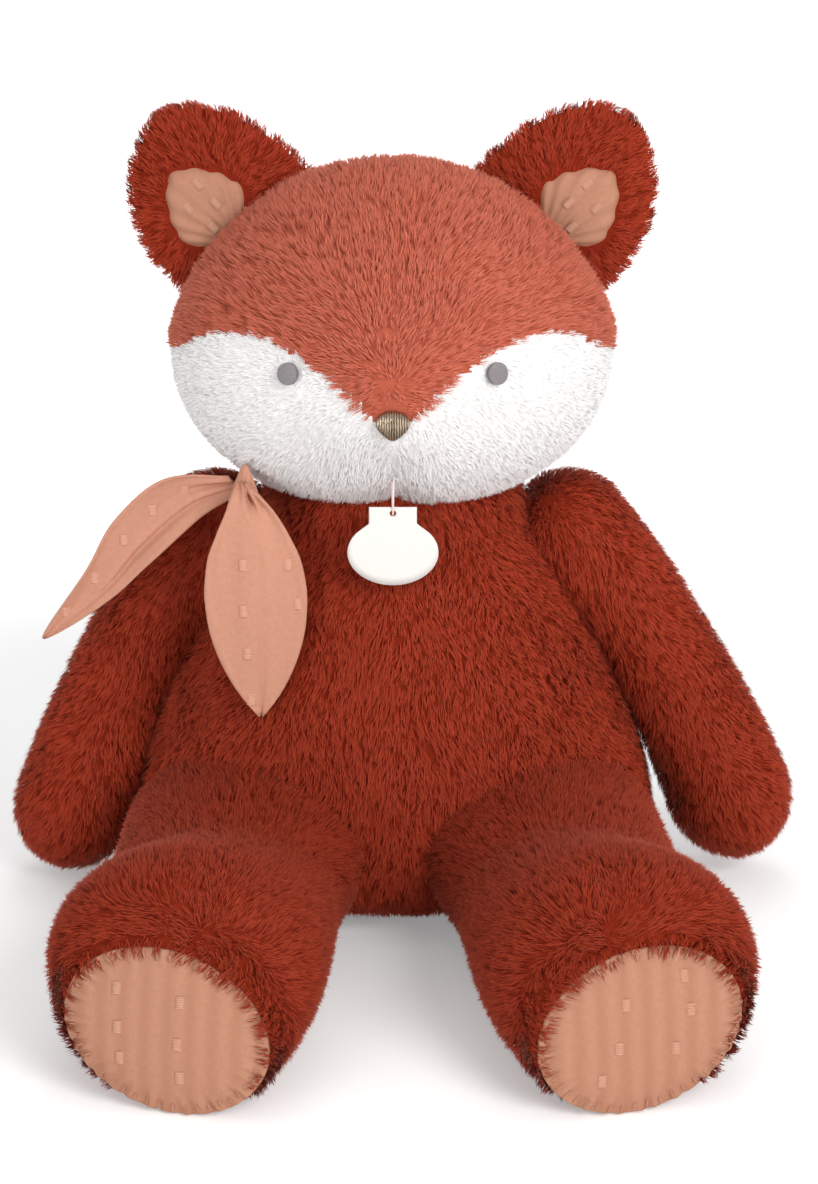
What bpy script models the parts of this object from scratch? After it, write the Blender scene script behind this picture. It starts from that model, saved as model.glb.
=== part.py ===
"""Seated plush fox: sewn fur skins over stuffed fillings, with ears, limbs, tail, scarf and hang tag.

Metres, +Z up. The fox faces -Y and sits on the plane z = 0. The origin is the middle of its flat seat.
Left and right are as seen from the front, so left pieces lie at -X.
"""

import math

import bmesh
import bpy
import numpy as np
from mathutils import Matrix, Vector

# Cloth, clearance and seat
SKIN = 0.007
GAP = 0.0003
SEAT_CUT = 0.0005
OVERRUN = 0.03
UNIT = 1.0

# Torso, a pear with a round dome that the head turns on
TORSO_HALF_WIDTH = 0.1235
TORSO_WIDEST = 0.035
TORSO_FRONT = 0.092
TORSO_BACK = 0.084
SHOULDER_LINE = 0.180
NECK_HEIGHT = 0.172
NECK_RADIUS = 0.0647
NECK_PLUG_RADIUS = 0.0285
NECK_PLUG_DEPTH = 0.050
PLUG_SIDES = 20
COLLAR_HEIGHT = 0.0345
NECK_DOME_SHARE = 0.86
NOD_FORWARD = math.radians(6.0)
SEAT_POWER_SHARE = 3.0
SEAT_ROW_SHARE = 1.7
SIDE_SLOPE_SHARE = 1.5
CHEST_SLOPE_SHARE = 1.8
BACK_SLOPE_SHARE = 1.6

# Head, whose heights are measured from the neck's centre
HEAD_HALF_WIDTH = 0.1022
HEAD_FRONT = 0.078
HEAD_BACK = 0.070
HEAD_SETBACK = -0.012
CHIN_RISE = 0.0155
WIDEST_RISE = 0.090
CROWN_RISE = 0.1765
HEAD_BOTTOM = NECK_HEIGHT + CHIN_RISE
HEAD_WIDEST = NECK_HEIGHT + WIDEST_RISE
HEAD_TOP = NECK_HEIGHT + CROWN_RISE
MUZZLE_REACH = 0.012
MUZZLE_WIDTH = 0.034
MUZZLE_HEIGHT = 0.030
CHIN_CLEFT = 0.004
CHIN_CLEFT_WIDTH = 0.011
CROWN_POWER_SHARES = (1.6, 0.5)
JAW_POWER_SHARES = (2.1, 0.42)
CHEEK_SEAM_DEPTH = 0.012
CHEEK_EDGE_SHARES = (
    (0.0, 0.375),
    (0.06, 0.385),
    (0.24, 0.485),
    (0.42, 0.55),
    (0.54, 0.575),
    (0.66, 0.575),
    (0.78, 0.555),
    (0.90, 0.50),
    (1.0, 0.455),
    (1.25, 0.43),
)

# Eyes and nose, at heights above the neck's centre
EYE_DIAMETER = 0.0094
EYE_BULGE = 0.0012
EYE_SPACING = 0.091
EYE_RISE = 0.0955
NOSE_WIDTH = 0.0148
NOSE_DEPTH = 0.0130
NOSE_BULGE = 0.0042
NOSE_RISE = 0.0780
NOSE_HEIGHT = NECK_HEIGHT + NOSE_RISE
NOSE_PINCH_SHARES = (0.42, 1.5)
NOSE_TALL_SHARES = (0.85, 1.15)

# Ears, rounded leaves with a lined hollow
EAR_HALF_WIDTH = 0.0415
EAR_LENGTH = 0.064
EAR_ROOT = 0.022
EAR_THICKNESS = 0.023
EAR_TILT = math.radians(45.0)
EAR_ALONG = 0.050
EAR_SETBACK = 0.018
EAR_SINK = 0.0105
EAR_SKEW = 0.0070
EAR_FLEX = math.radians(15.0)
EAR_TAPER_SHARE = 0.45
EAR_OUTLINE_SHARES = (2.6, 0.62)
LINING_HALF_WIDTH = 0.0180
LINING_LENGTH = 0.040
LINING_THICKNESS = 0.0024
LINING_OFFSET = 0.004
LINING_DEPTH = 0.0050
LINING_CROWN = 0.0012
LINING_PINCH_SHARE = 0.35

# Arms
ARM_LENGTH = 0.182
ARM_ROOT_RADIUS = 0.031
ARM_RADIUS = 0.0275
HAND_RADIUS = 0.0305
SHOULDER_HEIGHT = 0.168
SHOULDER_STANDOFF = 0.0106
SHOULDER_SETBACK = 0.003
ARM_SPLAYS = {"left": math.radians(25.0), "right": math.radians(29.0)}
ARM_BEND = math.radians(12.0)
HAND_ADVANCE = 0.010
ARM_STATION_SHARES = (0.0, 0.4, 0.8, 1.0)
HAND_BLUNT_SHARE = 0.02

# Legs and feet
HIP_SPACING = 0.128
HIP_FORWARD = 0.052
HIP_HALF_WIDTH = 0.060
HIP_RADIUS = 0.041
LEG_REACH = 0.194
LEG_SPREADS = {"left": 0.029, "right": 0.037}
SHIN_HALF_WIDTH = 0.053
SHIN_RADIUS = 0.0385
FOOT_HALF_WIDTH = 0.059
FOOT_HALF_HEIGHT = 0.047
FOOT_END_HALF_WIDTH = 0.050
FOOT_END_HALF_HEIGHT = 0.0385
LEG_STATION_SHARES = (0.0, 0.42, 0.74, 0.87, 0.96, 1.0)
FOOT_TOE_OUT = math.radians(12.0)
FOOT_TILT = math.radians(10.0)
FOOT_ROLL = math.radians(18.0)
SOLE_HALF_LENGTH = 0.0435
SOLE_HALF_HEIGHT = 0.0325
SOLE_CROWN = 0.0035
LEG_UP = math.radians(10.0)
LEG_DOWN = math.radians(40.0)
HIP_SWEEP = 0.075

# Tail
TAIL_RADIUS = 0.028
TAIL_ROOT_RADIUS = 0.016
TAIL_ROOT_HEIGHT = 0.034
TAIL_ROOT_STANDOFF = 0.008
TAIL_REACH = 0.098
TAIL_SWEEP = 0.112
TAIL_TIP_SHARE = 0.72
TAIL_STEP_SHARES = ((0.0, 0.0, 0.0), (0.04, 0.42, 0.0), (0.36, 0.84, 0.0), (1.0, 1.0, 0.0))
TAIL_STATION_SHARES = (0.0, 0.12, 0.45, 0.7, 0.9, 1.0)
TAIL_TAPER_SHARES = (1.0, 0.9, 0.5, 0.2)
TAIL_LEAST_SHARE = 0.05

# Scarf
BAND_LATITUDE = math.radians(47.5)
BAND_THICKNESS = 0.0100
BAND_WIDTH = 0.0170
BAND_SINK = 0.0055
BAND_PLEATS = 9
BAND_PLEAT_SHARE = 0.06
KNOT_ANGLE = math.radians(220.0)
KNOT_STANDOFF = 0.0218
KNOT_RISE = 0.0245
KNOT_LENGTH = 0.031
KNOT_WIDTH = 0.020
KNOT_RADIUS = 0.0045
KNOT_NECK_WIDTH_SHARE = 1.5
KNOT_STATION_SHARES = (0.0, 0.5, 0.72, 0.88, 1.0)
SCARF_THICKNESS = 0.0024
LEAF_EDGE_SHARES = (4.0, 0.12)
LEAF_POINT_SHARE = 0.8
LEAF_END_SHARE = 0.25
FRONT_TAIL_WIDEST_SHARE = 0.45
SIDE_TAIL_WIDEST_SHARE = 0.42
FRONT_TAIL_LENGTH = 0.092
FRONT_TAIL_HALF_WIDTH = 0.0235
FRONT_TAIL_FROM_KNOT = (0.004262844, -0.013698872, 0.0040)
FRONT_TAIL_LEAN = 0.003
FRONT_TAIL_ADVANCE = 0.010
FRONT_TAIL_BOW = 0.0010
FRONT_TAIL_FOLD = 0.0030
FRONT_TAIL_PLEAT_SHARES = (0.15, 0.06, 0.12, 0.03)
FRONT_TAIL_WAVE_SHARES = (0.4, 1.5)
SIDE_TAIL_HALF_WIDTH = 0.0155
SIDE_TAIL_ROOT_HALF_WIDTH = 0.0008
SIDE_TAIL_FROM_KNOT = (-0.00993716, 0.01080113, 0.0035)
SIDE_TAIL_HINGE_SHARE = 0.018
SIDE_TAIL_FOLD = 0.0040
SIDE_TAIL_FOLD_SHARES = (0.2, 0.5)
SIDE_TAIL_REACH = 0.083
SIDE_TAIL_DROP = 0.074
SIDE_TAIL_SETBACK = 0.0035
SIDE_TAIL_PATH_SHARES = ((0.27, 0.3, 0.16), (0.61, 0.7, 0.50), (1.0, 1.0, 1.0))

# Hang tag
TAG_HALF_WIDTH = 0.0200
TAG_HALF_HEIGHT = 0.0150
TAG_TAB_HALF_WIDTH = 0.0105
TAG_TAB_HEIGHT = 0.0060
TAG_THICKNESS = 0.0008
TAG_HOLE_RADIUS = 0.0014
TAG_DROP = 0.0150
TAG_ANCHOR_RISE = 0.0470
TAG_ANCHOR_STANDOFF = 0.0022
THREAD_DIAMETER = 0.0008
THREAD_LOOP_WIDTH = 0.0034

SIDES = {"left": -1, "right": 1}

RUST = (0.33, 0.055, 0.026, 1.0)
STUFFING = (0.86, 0.85, 0.82, 1.0)
WHITE = (0.86, 0.82, 0.80, 1.0)
PEACH = (0.60, 0.27, 0.18, 1.0)
SOLE_TAN = (0.62, 0.29, 0.19, 1.0)
EYE_GREY = (0.27, 0.25, 0.26, 1.0)
PEWTER = (0.30, 0.24, 0.18, 1.0)
IVORY = (0.84, 0.80, 0.74, 1.0)
THREAD_PINK = (0.75, 0.60, 0.56, 1.0)
RUST_FUR = (RUST, 0.95)
WHITE_FUR = (WHITE, 0.95)
FIBRE = (STUFFING, 0.9)
GAUZE = (PEACH, 0.85)
SOLE_CLOTH = (SOLE_TAN, 0.85)
EYE_STITCHING = (EYE_GREY, 0.6)
SATIN = (PEWTER, 0.4, 0.6)
CARD = (IVORY, 0.6)
TWIST = (THREAD_PINK, 0.7)


def clear_scene():
    for old in list(bpy.data.objects):
        bpy.data.objects.remove(old, do_unlink=True)


def material(name, colour, roughness, metallic=0.0):
    """A Principled material for one piece."""
    made = bpy.data.materials.new(name)
    made.use_nodes = True
    shader = made.node_tree.nodes["Principled BSDF"]
    shader.inputs["Base Color"].default_value = colour
    shader.inputs["Roughness"].default_value = roughness
    shader.inputs["Metallic"].default_value = metallic
    made.diffuse_color = colour
    return made


def joint_empty(name, place, parent=None):
    """An empty on a joint's axis, which carries the pieces that the joint moves."""
    empty = bpy.data.objects.new(name, None)
    bpy.context.scene.collection.objects.link(empty)
    empty.parent = parent
    above = world_place(parent) if parent else Vector((0, 0, 0))
    empty.location = Vector(place) - above
    return empty


def world_place(obj):
    """Where an object's origin is, with the empties above it counted."""
    place = Vector((0, 0, 0))
    while obj:
        place += obj.location
        obj = obj.parent
    return place


def solid(name, points, faces, finish=None, carrier=None):
    """A closed mesh from points in world space. With no finish it is a hidden cutter."""
    mesh = bpy.data.meshes.new(name)
    origin = world_place(carrier) if carrier else Vector((0, 0, 0))
    mesh.from_pydata([Vector(p) - origin for p in points], [], faces)
    work = bmesh.new()
    work.from_mesh(mesh)
    bmesh.ops.recalc_face_normals(work, faces=work.faces)
    work.to_mesh(mesh)
    work.free()
    mesh.shade_smooth()
    obj = bpy.data.objects.new(name, mesh)
    bpy.context.scene.collection.objects.link(obj)
    obj.parent = carrier
    if finish is None:
        obj.hide_render = True
        obj.display_type = "WIRE"
    else:
        colour, roughness, *metallic = finish
        mesh.materials.append(material(name, colour, roughness, *metallic))
    return obj


def boolean(obj, other, operation="DIFFERENCE"):
    modifier = obj.modifiers.new(other.name, "BOOLEAN")
    modifier.operation = operation
    modifier.object = other
    modifier.solver = "EXACT"


def lofted(rings, first, last):
    """Points and faces of a closed skin over rings of equal count, with a pole at each end."""
    count, sides = len(rings), len(rings[0])
    points = [tuple(first)] + [tuple(p) for ring in rings for p in ring] + [tuple(last)]
    faces = []
    for k in range(sides):
        after = (k + 1) % sides
        faces.append((0, 1 + after, 1 + k))
        for row in range(count - 1):
            low = 1 + row * sides
            high = low + sides
            faces.append((low + k, low + after, high + after))
            faces.append((low + k, high + after, high + k))
        top = 1 + (count - 1) * sides
        faces.append((top + k, top + after, len(points) - 1))
    return points, faces


def round_out(radius, sides):
    """The corner radius of a ring of flat faces that stays outside a circle."""
    return radius / math.cos(math.pi / sides)


def ball_room(name, centre, radius, sides=24, rows=11):
    """A hidden ball whose flat faces all stay outside the true radius."""
    corner = round_out(round_out(radius, sides), 2 * (rows + 1))
    return solid(name, *ellipsoid(centre, (corner, corner, corner), sides, rows))


def turned(points, centre, axis, angle):
    """Points turned about an axis through a centre."""
    middle = Vector(centre)
    turn = Matrix.Rotation(angle, 3, Vector(axis))
    return [middle + turn @ (Vector(point) - middle) for point in points]


def ellipsoid(centre, half_sizes, sides=20, rows=9):
    """Points and faces of an ellipsoid with its poles along Z."""
    centre = np.array(centre)
    half = np.array(half_sizes)
    rings = []
    for latitude in np.linspace(-math.pi / 2, math.pi / 2, rows + 2)[1:-1]:
        around = np.linspace(0, 2 * math.pi, sides, endpoint=False)
        unit = np.stack(
            [
                np.cos(latitude) * np.cos(around),
                np.cos(latitude) * np.sin(around),
                np.full(sides, np.sin(latitude)),
            ],
            axis=1,
        )
        rings.append(centre + half * unit)
    pole = np.array([0, 0, half[2]])
    return lofted(rings, centre - pole, centre + pole)


def block(name, low, high):
    """A hidden box between two corners."""
    corners = [(x, y, z) for x in (low[0], high[0]) for y in (low[1], high[1]) for z in (low[2], high[2])]
    faces = [(0, 1, 3, 2), (4, 6, 7, 5), (0, 4, 5, 1), (2, 3, 7, 6), (0, 2, 6, 4), (1, 5, 7, 3)]
    return solid(name, corners, faces)


def floor_cutter():
    reach = HEAD_TOP + LEG_REACH
    return block("below_seat", (-reach, -reach, -reach), (reach, reach, 0))


def smooth_path(controls, shares):
    """Points at the given shares of a smooth curve through the controls, by Catmull-Rom."""
    knots = np.array(controls, float)
    padded = np.vstack([2 * knots[0] - knots[1], knots, 2 * knots[-1] - knots[-2]])
    place = np.clip(np.array(shares, float), 0, 1) * (len(knots) - 1)
    span = np.minimum(place.astype(int), len(knots) - 2)
    t = (place - span)[:, None]
    a, b, c, d = (padded[span + i] for i in range(4))
    return 0.5 * (2 * b + (c - a) * t + (2 * a - 5 * b + 4 * c - d) * t**2 + (3 * b - a - 3 * c + d) * t**3)


def tube_rings(path, half_widths, half_heights, sides, sideways, roll=None, along=None):
    """Elliptical rings square to a path, or to given directions. Widths lie nearest to `sideways`."""
    along = np.gradient(path, axis=0) if along is None else along
    along = along / np.linalg.norm(along, axis=1, keepdims=True)
    up = np.cross(np.broadcast_to(sideways, along.shape), along)
    up /= np.linalg.norm(up, axis=1, keepdims=True)
    right = np.cross(along, up)
    around = np.linspace(0, 2 * math.pi, sides, endpoint=False)
    turn = np.zeros(len(path)) if roll is None else roll
    rings = []
    for i in range(len(path)):
        flat = half_widths[i] * np.cos(around)
        tall = half_heights[i] * np.sin(around)
        across = flat * math.cos(turn[i]) - tall * math.sin(turn[i])
        above = flat * math.sin(turn[i]) + tall * math.cos(turn[i])
        rings.append(path[i] + across[:, None] * right[i] + above[:, None] * up[i])
    return rings


# Torso


def torso_section(z, inset=0.0):
    """Half width, front depth and back depth of the torso at heights z."""
    z = np.asarray(z, float)
    low = -SEAT_CUT + inset
    below = np.clip((TORSO_WIDEST - z) / (TORSO_WIDEST - low), 0, 1)
    swell = (1 - below**SEAT_POWER_SHARE) ** (1 / SEAT_POWER_SHARE)
    above = np.clip((z - TORSO_WIDEST) / (SHOULDER_LINE - TORSO_WIDEST), 0, 1)
    ball = NECK_RADIUS - inset
    neck = math.sqrt(ball**2 - (SHOULDER_LINE - NECK_HEIGHT) ** 2)
    dome = np.sqrt(np.maximum(ball**2 - (z - NECK_HEIGHT) ** 2, 0))
    sizes = []
    for widest, slope in (
        (TORSO_HALF_WIDTH, SIDE_SLOPE_SHARE),
        (TORSO_FRONT, CHEST_SLOPE_SHARE),
        (TORSO_BACK, BACK_SLOPE_SHARE),
    ):
        size = widest - inset
        size = size * swell - (size - neck) * above**slope
        sizes.append(np.where(z > SHOULDER_LINE, dome, size))
    return sizes


def torso_form(inset=0.0, sides=24, seat_rows=5, side_rows=7, dome_rows=3):
    """The stuffed pear: a flattened seat, sloping sides and the round dome of the neck."""
    low = -SEAT_CUT + inset
    rise = np.linspace(0, 1, seat_rows + 1)[1:] ** SEAT_ROW_SHARE
    seat = low + (TORSO_WIDEST - low) * rise
    side = np.linspace(TORSO_WIDEST, SHOULDER_LINE, side_rows + 1)[1:]
    ball = NECK_RADIUS - inset
    start = math.asin((SHOULDER_LINE - NECK_HEIGHT) / ball)
    dome = NECK_HEIGHT + ball * np.sin(np.linspace(start, math.pi / 2, dome_rows + 2)[1:-1])
    heights = np.concatenate([seat, side, dome])
    width, front, back = torso_section(heights, inset)
    around = np.linspace(0, 2 * math.pi, sides, endpoint=False)
    rings = []
    for z, a, f, b in zip(heights, width, front, back):
        depth = np.where(np.sin(around) > 0, f, b)
        rings.append(np.stack([a * np.cos(around), -depth * np.sin(around), np.full(sides, z)], axis=1))
    return lofted(rings, (0, 0, low), (0, 0, NECK_HEIGHT + ball))


def torso_rear(z):
    return float(torso_section(z)[2])


def neck_point(distance, latitude, turn):
    """A point at a distance from the neck's middle, by latitude and by turn about Z."""
    flat = distance * math.cos(latitude)
    return (flat * math.cos(turn), flat * math.sin(turn), NECK_HEIGHT + distance * math.sin(latitude))


def neck_plug_form(radius, ball, bottom, sides=PLUG_SIDES):
    """A round plug under a cap that follows the neck's dome."""
    edge = math.asin(radius / ball)
    caps = np.linspace(edge, 0, 5)[:-1]
    profile = [(radius, bottom)] + [(ball * math.sin(c), NECK_HEIGHT + ball * math.cos(c)) for c in caps]
    around = np.linspace(0, 2 * math.pi, sides, endpoint=False)
    rings = []
    for r, z in profile:
        rings.append(np.stack([r * np.cos(around), r * np.sin(around), np.full(sides, z)], axis=1))
    return lofted(rings, (0, 0, bottom), (0, 0, NECK_HEIGHT + ball))


# Head


def head_share(z, inset=0.0):
    """Share of the head's full width at heights z: a rounded crown over a squarer jaw."""
    z = np.asarray(z, float)
    top, bottom = HEAD_TOP - inset, HEAD_BOTTOM + inset
    rise = np.clip((z - HEAD_WIDEST) / (top - HEAD_WIDEST), 0, 1)
    fall = np.clip((HEAD_WIDEST - z) / (HEAD_WIDEST - bottom), 0, 1)
    crown = (1 - rise ** CROWN_POWER_SHARES[0]) ** CROWN_POWER_SHARES[1]
    jaw = (1 - fall ** JAW_POWER_SHARES[0]) ** JAW_POWER_SHARES[1]
    return np.where(z > HEAD_WIDEST, crown, jaw)


def muzzle(x, z):
    """How far the muzzle and the chin's cleft move the face forward at x and z."""
    bump = MUZZLE_REACH * np.exp(-((x / MUZZLE_WIDTH) ** 2) - ((z - NOSE_HEIGHT) / MUZZLE_HEIGHT) ** 2)
    below = np.clip((NOSE_HEIGHT - z) / (NOSE_HEIGHT - HEAD_BOTTOM), 0, 1)
    cleft = CHIN_CLEFT * np.exp(-((x / CHIN_CLEFT_WIDTH) ** 2)) * np.sin(math.pi * below) ** 2
    return bump - cleft


def head_form(inset=0.0, sides=30, crown_rows=8, jaw_rows=7):
    """The stuffed head: a wide rounded triangle from the front, with a soft muzzle."""
    top, bottom = HEAD_TOP - inset, HEAD_BOTTOM + inset
    jaw = HEAD_WIDEST - (HEAD_WIDEST - bottom) * np.sin(np.linspace(math.pi / 2, 0, jaw_rows + 1)[1:])
    crown = HEAD_WIDEST + (top - HEAD_WIDEST) * np.sin(np.linspace(0, math.pi / 2, crown_rows + 2)[1:-1])
    around = np.linspace(0, 2 * math.pi, sides, endpoint=False)
    rings = []
    for z in np.concatenate([jaw, crown]):
        share = float(head_share(z, inset))
        x = (HEAD_HALF_WIDTH - inset) * share * np.cos(around)
        depth = np.where(np.sin(around) > 0, HEAD_FRONT - inset, HEAD_BACK - inset)
        y = HEAD_SETBACK - depth * share * np.sin(around)
        y -= muzzle(x, z) * np.clip(np.sin(around), 0, 1)
        rings.append(np.stack([x, y, np.full(sides, z)], axis=1))
    return lofted(rings, (0, HEAD_SETBACK, bottom), (0, HEAD_SETBACK, top))


def face_point(x, z):
    """The point of the head's front surface at x and z."""
    share = float(head_share(z))
    lean = math.sqrt(max(1 - (x / (HEAD_HALF_WIDTH * share)) ** 2, 0))
    y = HEAD_SETBACK - HEAD_FRONT * share * lean - float(muzzle(x, z)) * lean
    return Vector((x, y, z))


def cheek_prism(name, sign, grow):
    """A front-view outline of one white cheek, run through the front of the head."""
    height = HEAD_TOP - HEAD_BOTTOM
    edge = [(x * HEAD_HALF_WIDTH, HEAD_BOTTOM + z * height + grow) for x, z in CHEEK_EDGE_SHARES]
    low = HEAD_BOTTOM - OVERRUN
    inner = -grow - OVERRUN * (grow > 0)
    outline = [(inner, low)] + [(inner, edge[0][1])] + edge[1:] + [(edge[-1][0], low)]
    front = HEAD_SETBACK - HEAD_FRONT - OVERRUN
    back = HEAD_SETBACK + CHEEK_SEAM_DEPTH + grow
    points = [(sign * x, y, z) for y in (front, back) for x, z in outline]
    count = len(outline)
    faces = [tuple(range(count)), tuple(range(2 * count - 1, count - 1, -1))]
    faces += [(k, (k + 1) % count, count + (k + 1) % count, count + k) for k in range(count)]
    return solid(name, points, faces)


def make_head(carrier):
    """Cap, two cheeks and filling, all hollowed round the neck's dome."""
    cavity = solid("head_cavity", *head_form(SKIN, sides=18, crown_rows=4, jaw_rows=4))
    socket = ball_room("head_socket", (0, 0, NECK_HEIGHT), NECK_RADIUS + GAP, 24, 11)
    cap = solid("head_cap", *head_form(), RUST_FUR, carrier)
    for side, sign in SIDES.items():
        boolean(cap, cheek_prism("cap_opening_" + side, sign, GAP / 2))
    boolean(cap, cavity)
    boolean(cap, socket)
    for side, sign in SIDES.items():
        cheek = solid("cheek_" + side, *head_form(), WHITE_FUR, carrier)
        boolean(cheek, cheek_prism("cheek_outline_" + side, sign, -GAP / 2), "INTERSECT")
        boolean(cheek, cavity)
        boolean(cheek, socket)
    inner = head_form(SKIN + GAP, sides=18, crown_rows=4, jaw_rows=4)
    filling = solid("head_filling", *inner, FIBRE, carrier)
    boolean(filling, socket)


def make_face(carrier):
    """Embroidered eyes and a satin-stitched nose, lying on the fur."""
    surface = solid("face_surface", *head_form(-GAP))
    radius = EYE_DIAMETER / 2
    for side, sign in SIDES.items():
        place = face_point(sign * EYE_SPACING / 2, NECK_HEIGHT + EYE_RISE)
        eye = solid(
            "eye_" + side, *ellipsoid(place, (radius, radius, radius), 14, 7), EYE_STITCHING, carrier
        )
        rim = solid("eye_rim_" + side, *head_form(-GAP - EYE_BULGE))
        boolean(eye, rim, "INTERSECT")
        boolean(eye, surface)
    place = face_point(0, NOSE_HEIGHT)
    nose = solid("nose", *nose_form(place), SATIN, carrier)
    boolean(nose, surface)


def nose_form(place, sides=24, rows=5):
    """A rounded triangle, flat on top and pointed below, that domes forward."""
    around = np.linspace(0, 2 * math.pi, sides, endpoint=False)
    pinch = 1 - NOSE_PINCH_SHARES[0] * np.clip(-np.sin(around), 0, 1) ** NOSE_PINCH_SHARES[1]
    tall = np.where(np.sin(around) > 0, *NOSE_TALL_SHARES)
    outline_x = NOSE_WIDTH / 2 * np.cos(around) * pinch
    outline_z = NOSE_DEPTH / 2 * np.sin(around) * tall
    rings = []
    for lift in np.linspace(0, 1, rows + 1)[:-1]:
        scale = math.sqrt(1 - lift**2)
        depth = place[1] + NOSE_BULGE - 2 * NOSE_BULGE * lift
        across, above = place[0] + outline_x * scale, place[2] + outline_z * scale
        rings.append(np.stack([across, np.full(sides, depth), above], axis=1))
    back = (place[0], place[1] + NOSE_BULGE, place[2])
    return lofted(rings, back, (place[0], place[1] - NOSE_BULGE, place[2]))


# Ears


def ear_frame(sign):
    """Middle of an ear's base on the head, and its directions along the base, to the tip and forward."""
    turn = math.pi / 2 - EAR_TILT
    height = HEAD_WIDEST + EAR_ALONG
    width = HEAD_HALF_WIDTH * float(head_share(height))
    base = np.array([sign * (width - EAR_SINK), HEAD_SETBACK + EAR_SETBACK, height])
    along = np.array([-sign * math.sin(turn), 0, math.cos(turn)])
    tip = np.array([sign * math.cos(turn), 0, math.sin(turn)])
    return base, along, tip, np.array([0, -UNIT, 0])


def ear_outline(q):
    """Half width and sideways shift of the ear at distances q from its base."""
    share = np.clip(q / EAR_LENGTH, 0, 1)
    power, root = EAR_OUTLINE_SHARES
    half = EAR_HALF_WIDTH * (1 - share**power) ** root
    return half, EAR_SKEW * share**3


def ear_form(sign, sides=16, rows=8):
    base, along, tip, front = ear_frame(sign)
    around = np.linspace(0, 2 * math.pi, sides, endpoint=False)
    rings = []
    ahead = EAR_LENGTH * np.sin(np.linspace(0, math.pi / 2, rows + 1)[:-1])
    for q in np.concatenate([[-EAR_ROOT, -EAR_ROOT / 2], ahead]):
        half, shift = ear_outline(max(q, 0))
        thick = EAR_THICKNESS / 2 * (1 - EAR_TAPER_SHARE * max(q, 0) / EAR_LENGTH)
        spread = (shift + half * np.cos(around))[:, None]
        rings.append(base + q * tip + spread * along + (thick * np.sin(around))[:, None] * front)
    end = base + EAR_LENGTH * tip + EAR_SKEW * along
    return lofted(rings, base - EAR_ROOT * tip, end)


def lining_rings(sign, grow, low, high, sides=20):
    """Rounded-triangle rings of the ear's hollow between two depths from the ear's mid plane."""
    base, along, tip, front = ear_frame(sign)
    around = np.linspace(0, 2 * math.pi, sides, endpoint=False)
    half = LINING_HALF_WIDTH + grow
    reach = LINING_LENGTH / 2 + grow
    spread = half * np.cos(around) * (1 - LINING_PINCH_SHARE * np.sin(around))
    rise = LINING_LENGTH / 2 + reach * np.sin(around)
    flat = base + (spread - LINING_OFFSET)[:, None] * along + rise[:, None] * tip
    middle = base - LINING_OFFSET * along + LINING_LENGTH / 2 * tip
    return [flat + low * front, flat + high * front], middle + low * front, middle + high * front


def make_ears(carrier):
    """Each ear is cut to the head's surface, with room to flex fore and aft, and hollowed for its lining."""
    pivots = {}
    for side, sign in SIDES.items():
        base, along, tip, front = ear_frame(sign)
        pivots[side] = joint_empty(f"ear_{side}_axis", base, carrier)
        ear = solid("ear_" + side, *ear_form(sign), RUST_FUR, pivots[side])
        for step, angle in enumerate((-EAR_FLEX, 0, EAR_FLEX)):
            points, faces = head_form(-GAP)
            points = turned(points, base, along, angle)
            boolean(ear, solid(f"head_against_ear_{side}_{step}", points, faces))
        floor = EAR_THICKNESS / 2 - LINING_DEPTH
        rings, low, high = lining_rings(sign, GAP, floor, EAR_THICKNESS)
        boolean(ear, solid("ear_hollow_" + side, *lofted(rings, low, high)))
        rings, low, high = lining_rings(sign, 0, floor + GAP, floor + GAP + LINING_THICKNESS)
        crown = high + LINING_CROWN * front
        lining = solid("ear_lining_" + side, *lofted(rings, low, crown), GAUZE, pivots[side])
        for step in range(3):
            boolean(lining, bpy.data.objects[f"head_against_ear_{side}_{step}"])
    return pivots


# Arms


def shoulder(sign):
    width = float(torso_section(SHOULDER_HEIGHT)[0])
    return np.array([sign * (width + SHOULDER_STANDOFF), SHOULDER_SETBACK, SHOULDER_HEIGHT])


def arm_form(side, inset=0.0, sides=16, rows=8):
    """A stuffed arm that hangs in a slight bow: a round root, a slim middle and a full hand."""
    sign = SIDES[side]
    start = shoulder(sign)
    first = ARM_SPLAYS[side] + ARM_BEND
    curl = 2 * ARM_BEND / ARM_LENGTH
    root = ARM_ROOT_RADIUS - inset
    back = np.linspace(math.pi / 2, 0, 4)[1:-1]
    behind = -root * np.sin(back)
    length = ARM_LENGTH - inset
    hand = length - HAND_RADIUS * (1 - np.sin(back[::-1]))
    ahead = np.concatenate([np.linspace(0, length - HAND_RADIUS, rows), hand])
    s = np.concatenate([behind, ahead])
    along = np.maximum(s, 0)
    angle = first - curl * along
    x = (np.cos(angle) - math.cos(first)) / curl + np.minimum(s, 0) * math.sin(first)
    z = -(math.sin(first) - np.sin(angle)) / curl - np.minimum(s, 0) * math.cos(first)
    y = -HAND_ADVANCE * (along / ARM_LENGTH) ** 2
    path = start + np.stack([sign * x, y, z], axis=1)
    share = along / ARM_LENGTH
    radii = (ARM_ROOT_RADIUS, ARM_RADIUS, HAND_RADIUS, HAND_RADIUS)
    waist = np.interp(share, ARM_STATION_SHARES, radii) - inset
    ends = np.where(s < 0, np.sqrt(np.maximum(1 - (s / root) ** 2, 0)), 1)
    over = np.clip((s - (length - HAND_RADIUS)) / HAND_RADIUS, 0, 1)
    radius = waist * ends * np.sqrt(np.maximum(1 - over**2, HAND_BLUNT_SHARE))
    rings = tube_rings(path, radius, radius, sides, (0, UNIT, 0))
    direction = np.array([sign * math.sin(first), 0, -math.cos(first)])
    last = (path[-1] - path[-2]) / np.linalg.norm(path[-1] - path[-2])
    return lofted(rings, start - root * direction, path[-1] + last * (length - s[-1]))


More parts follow.
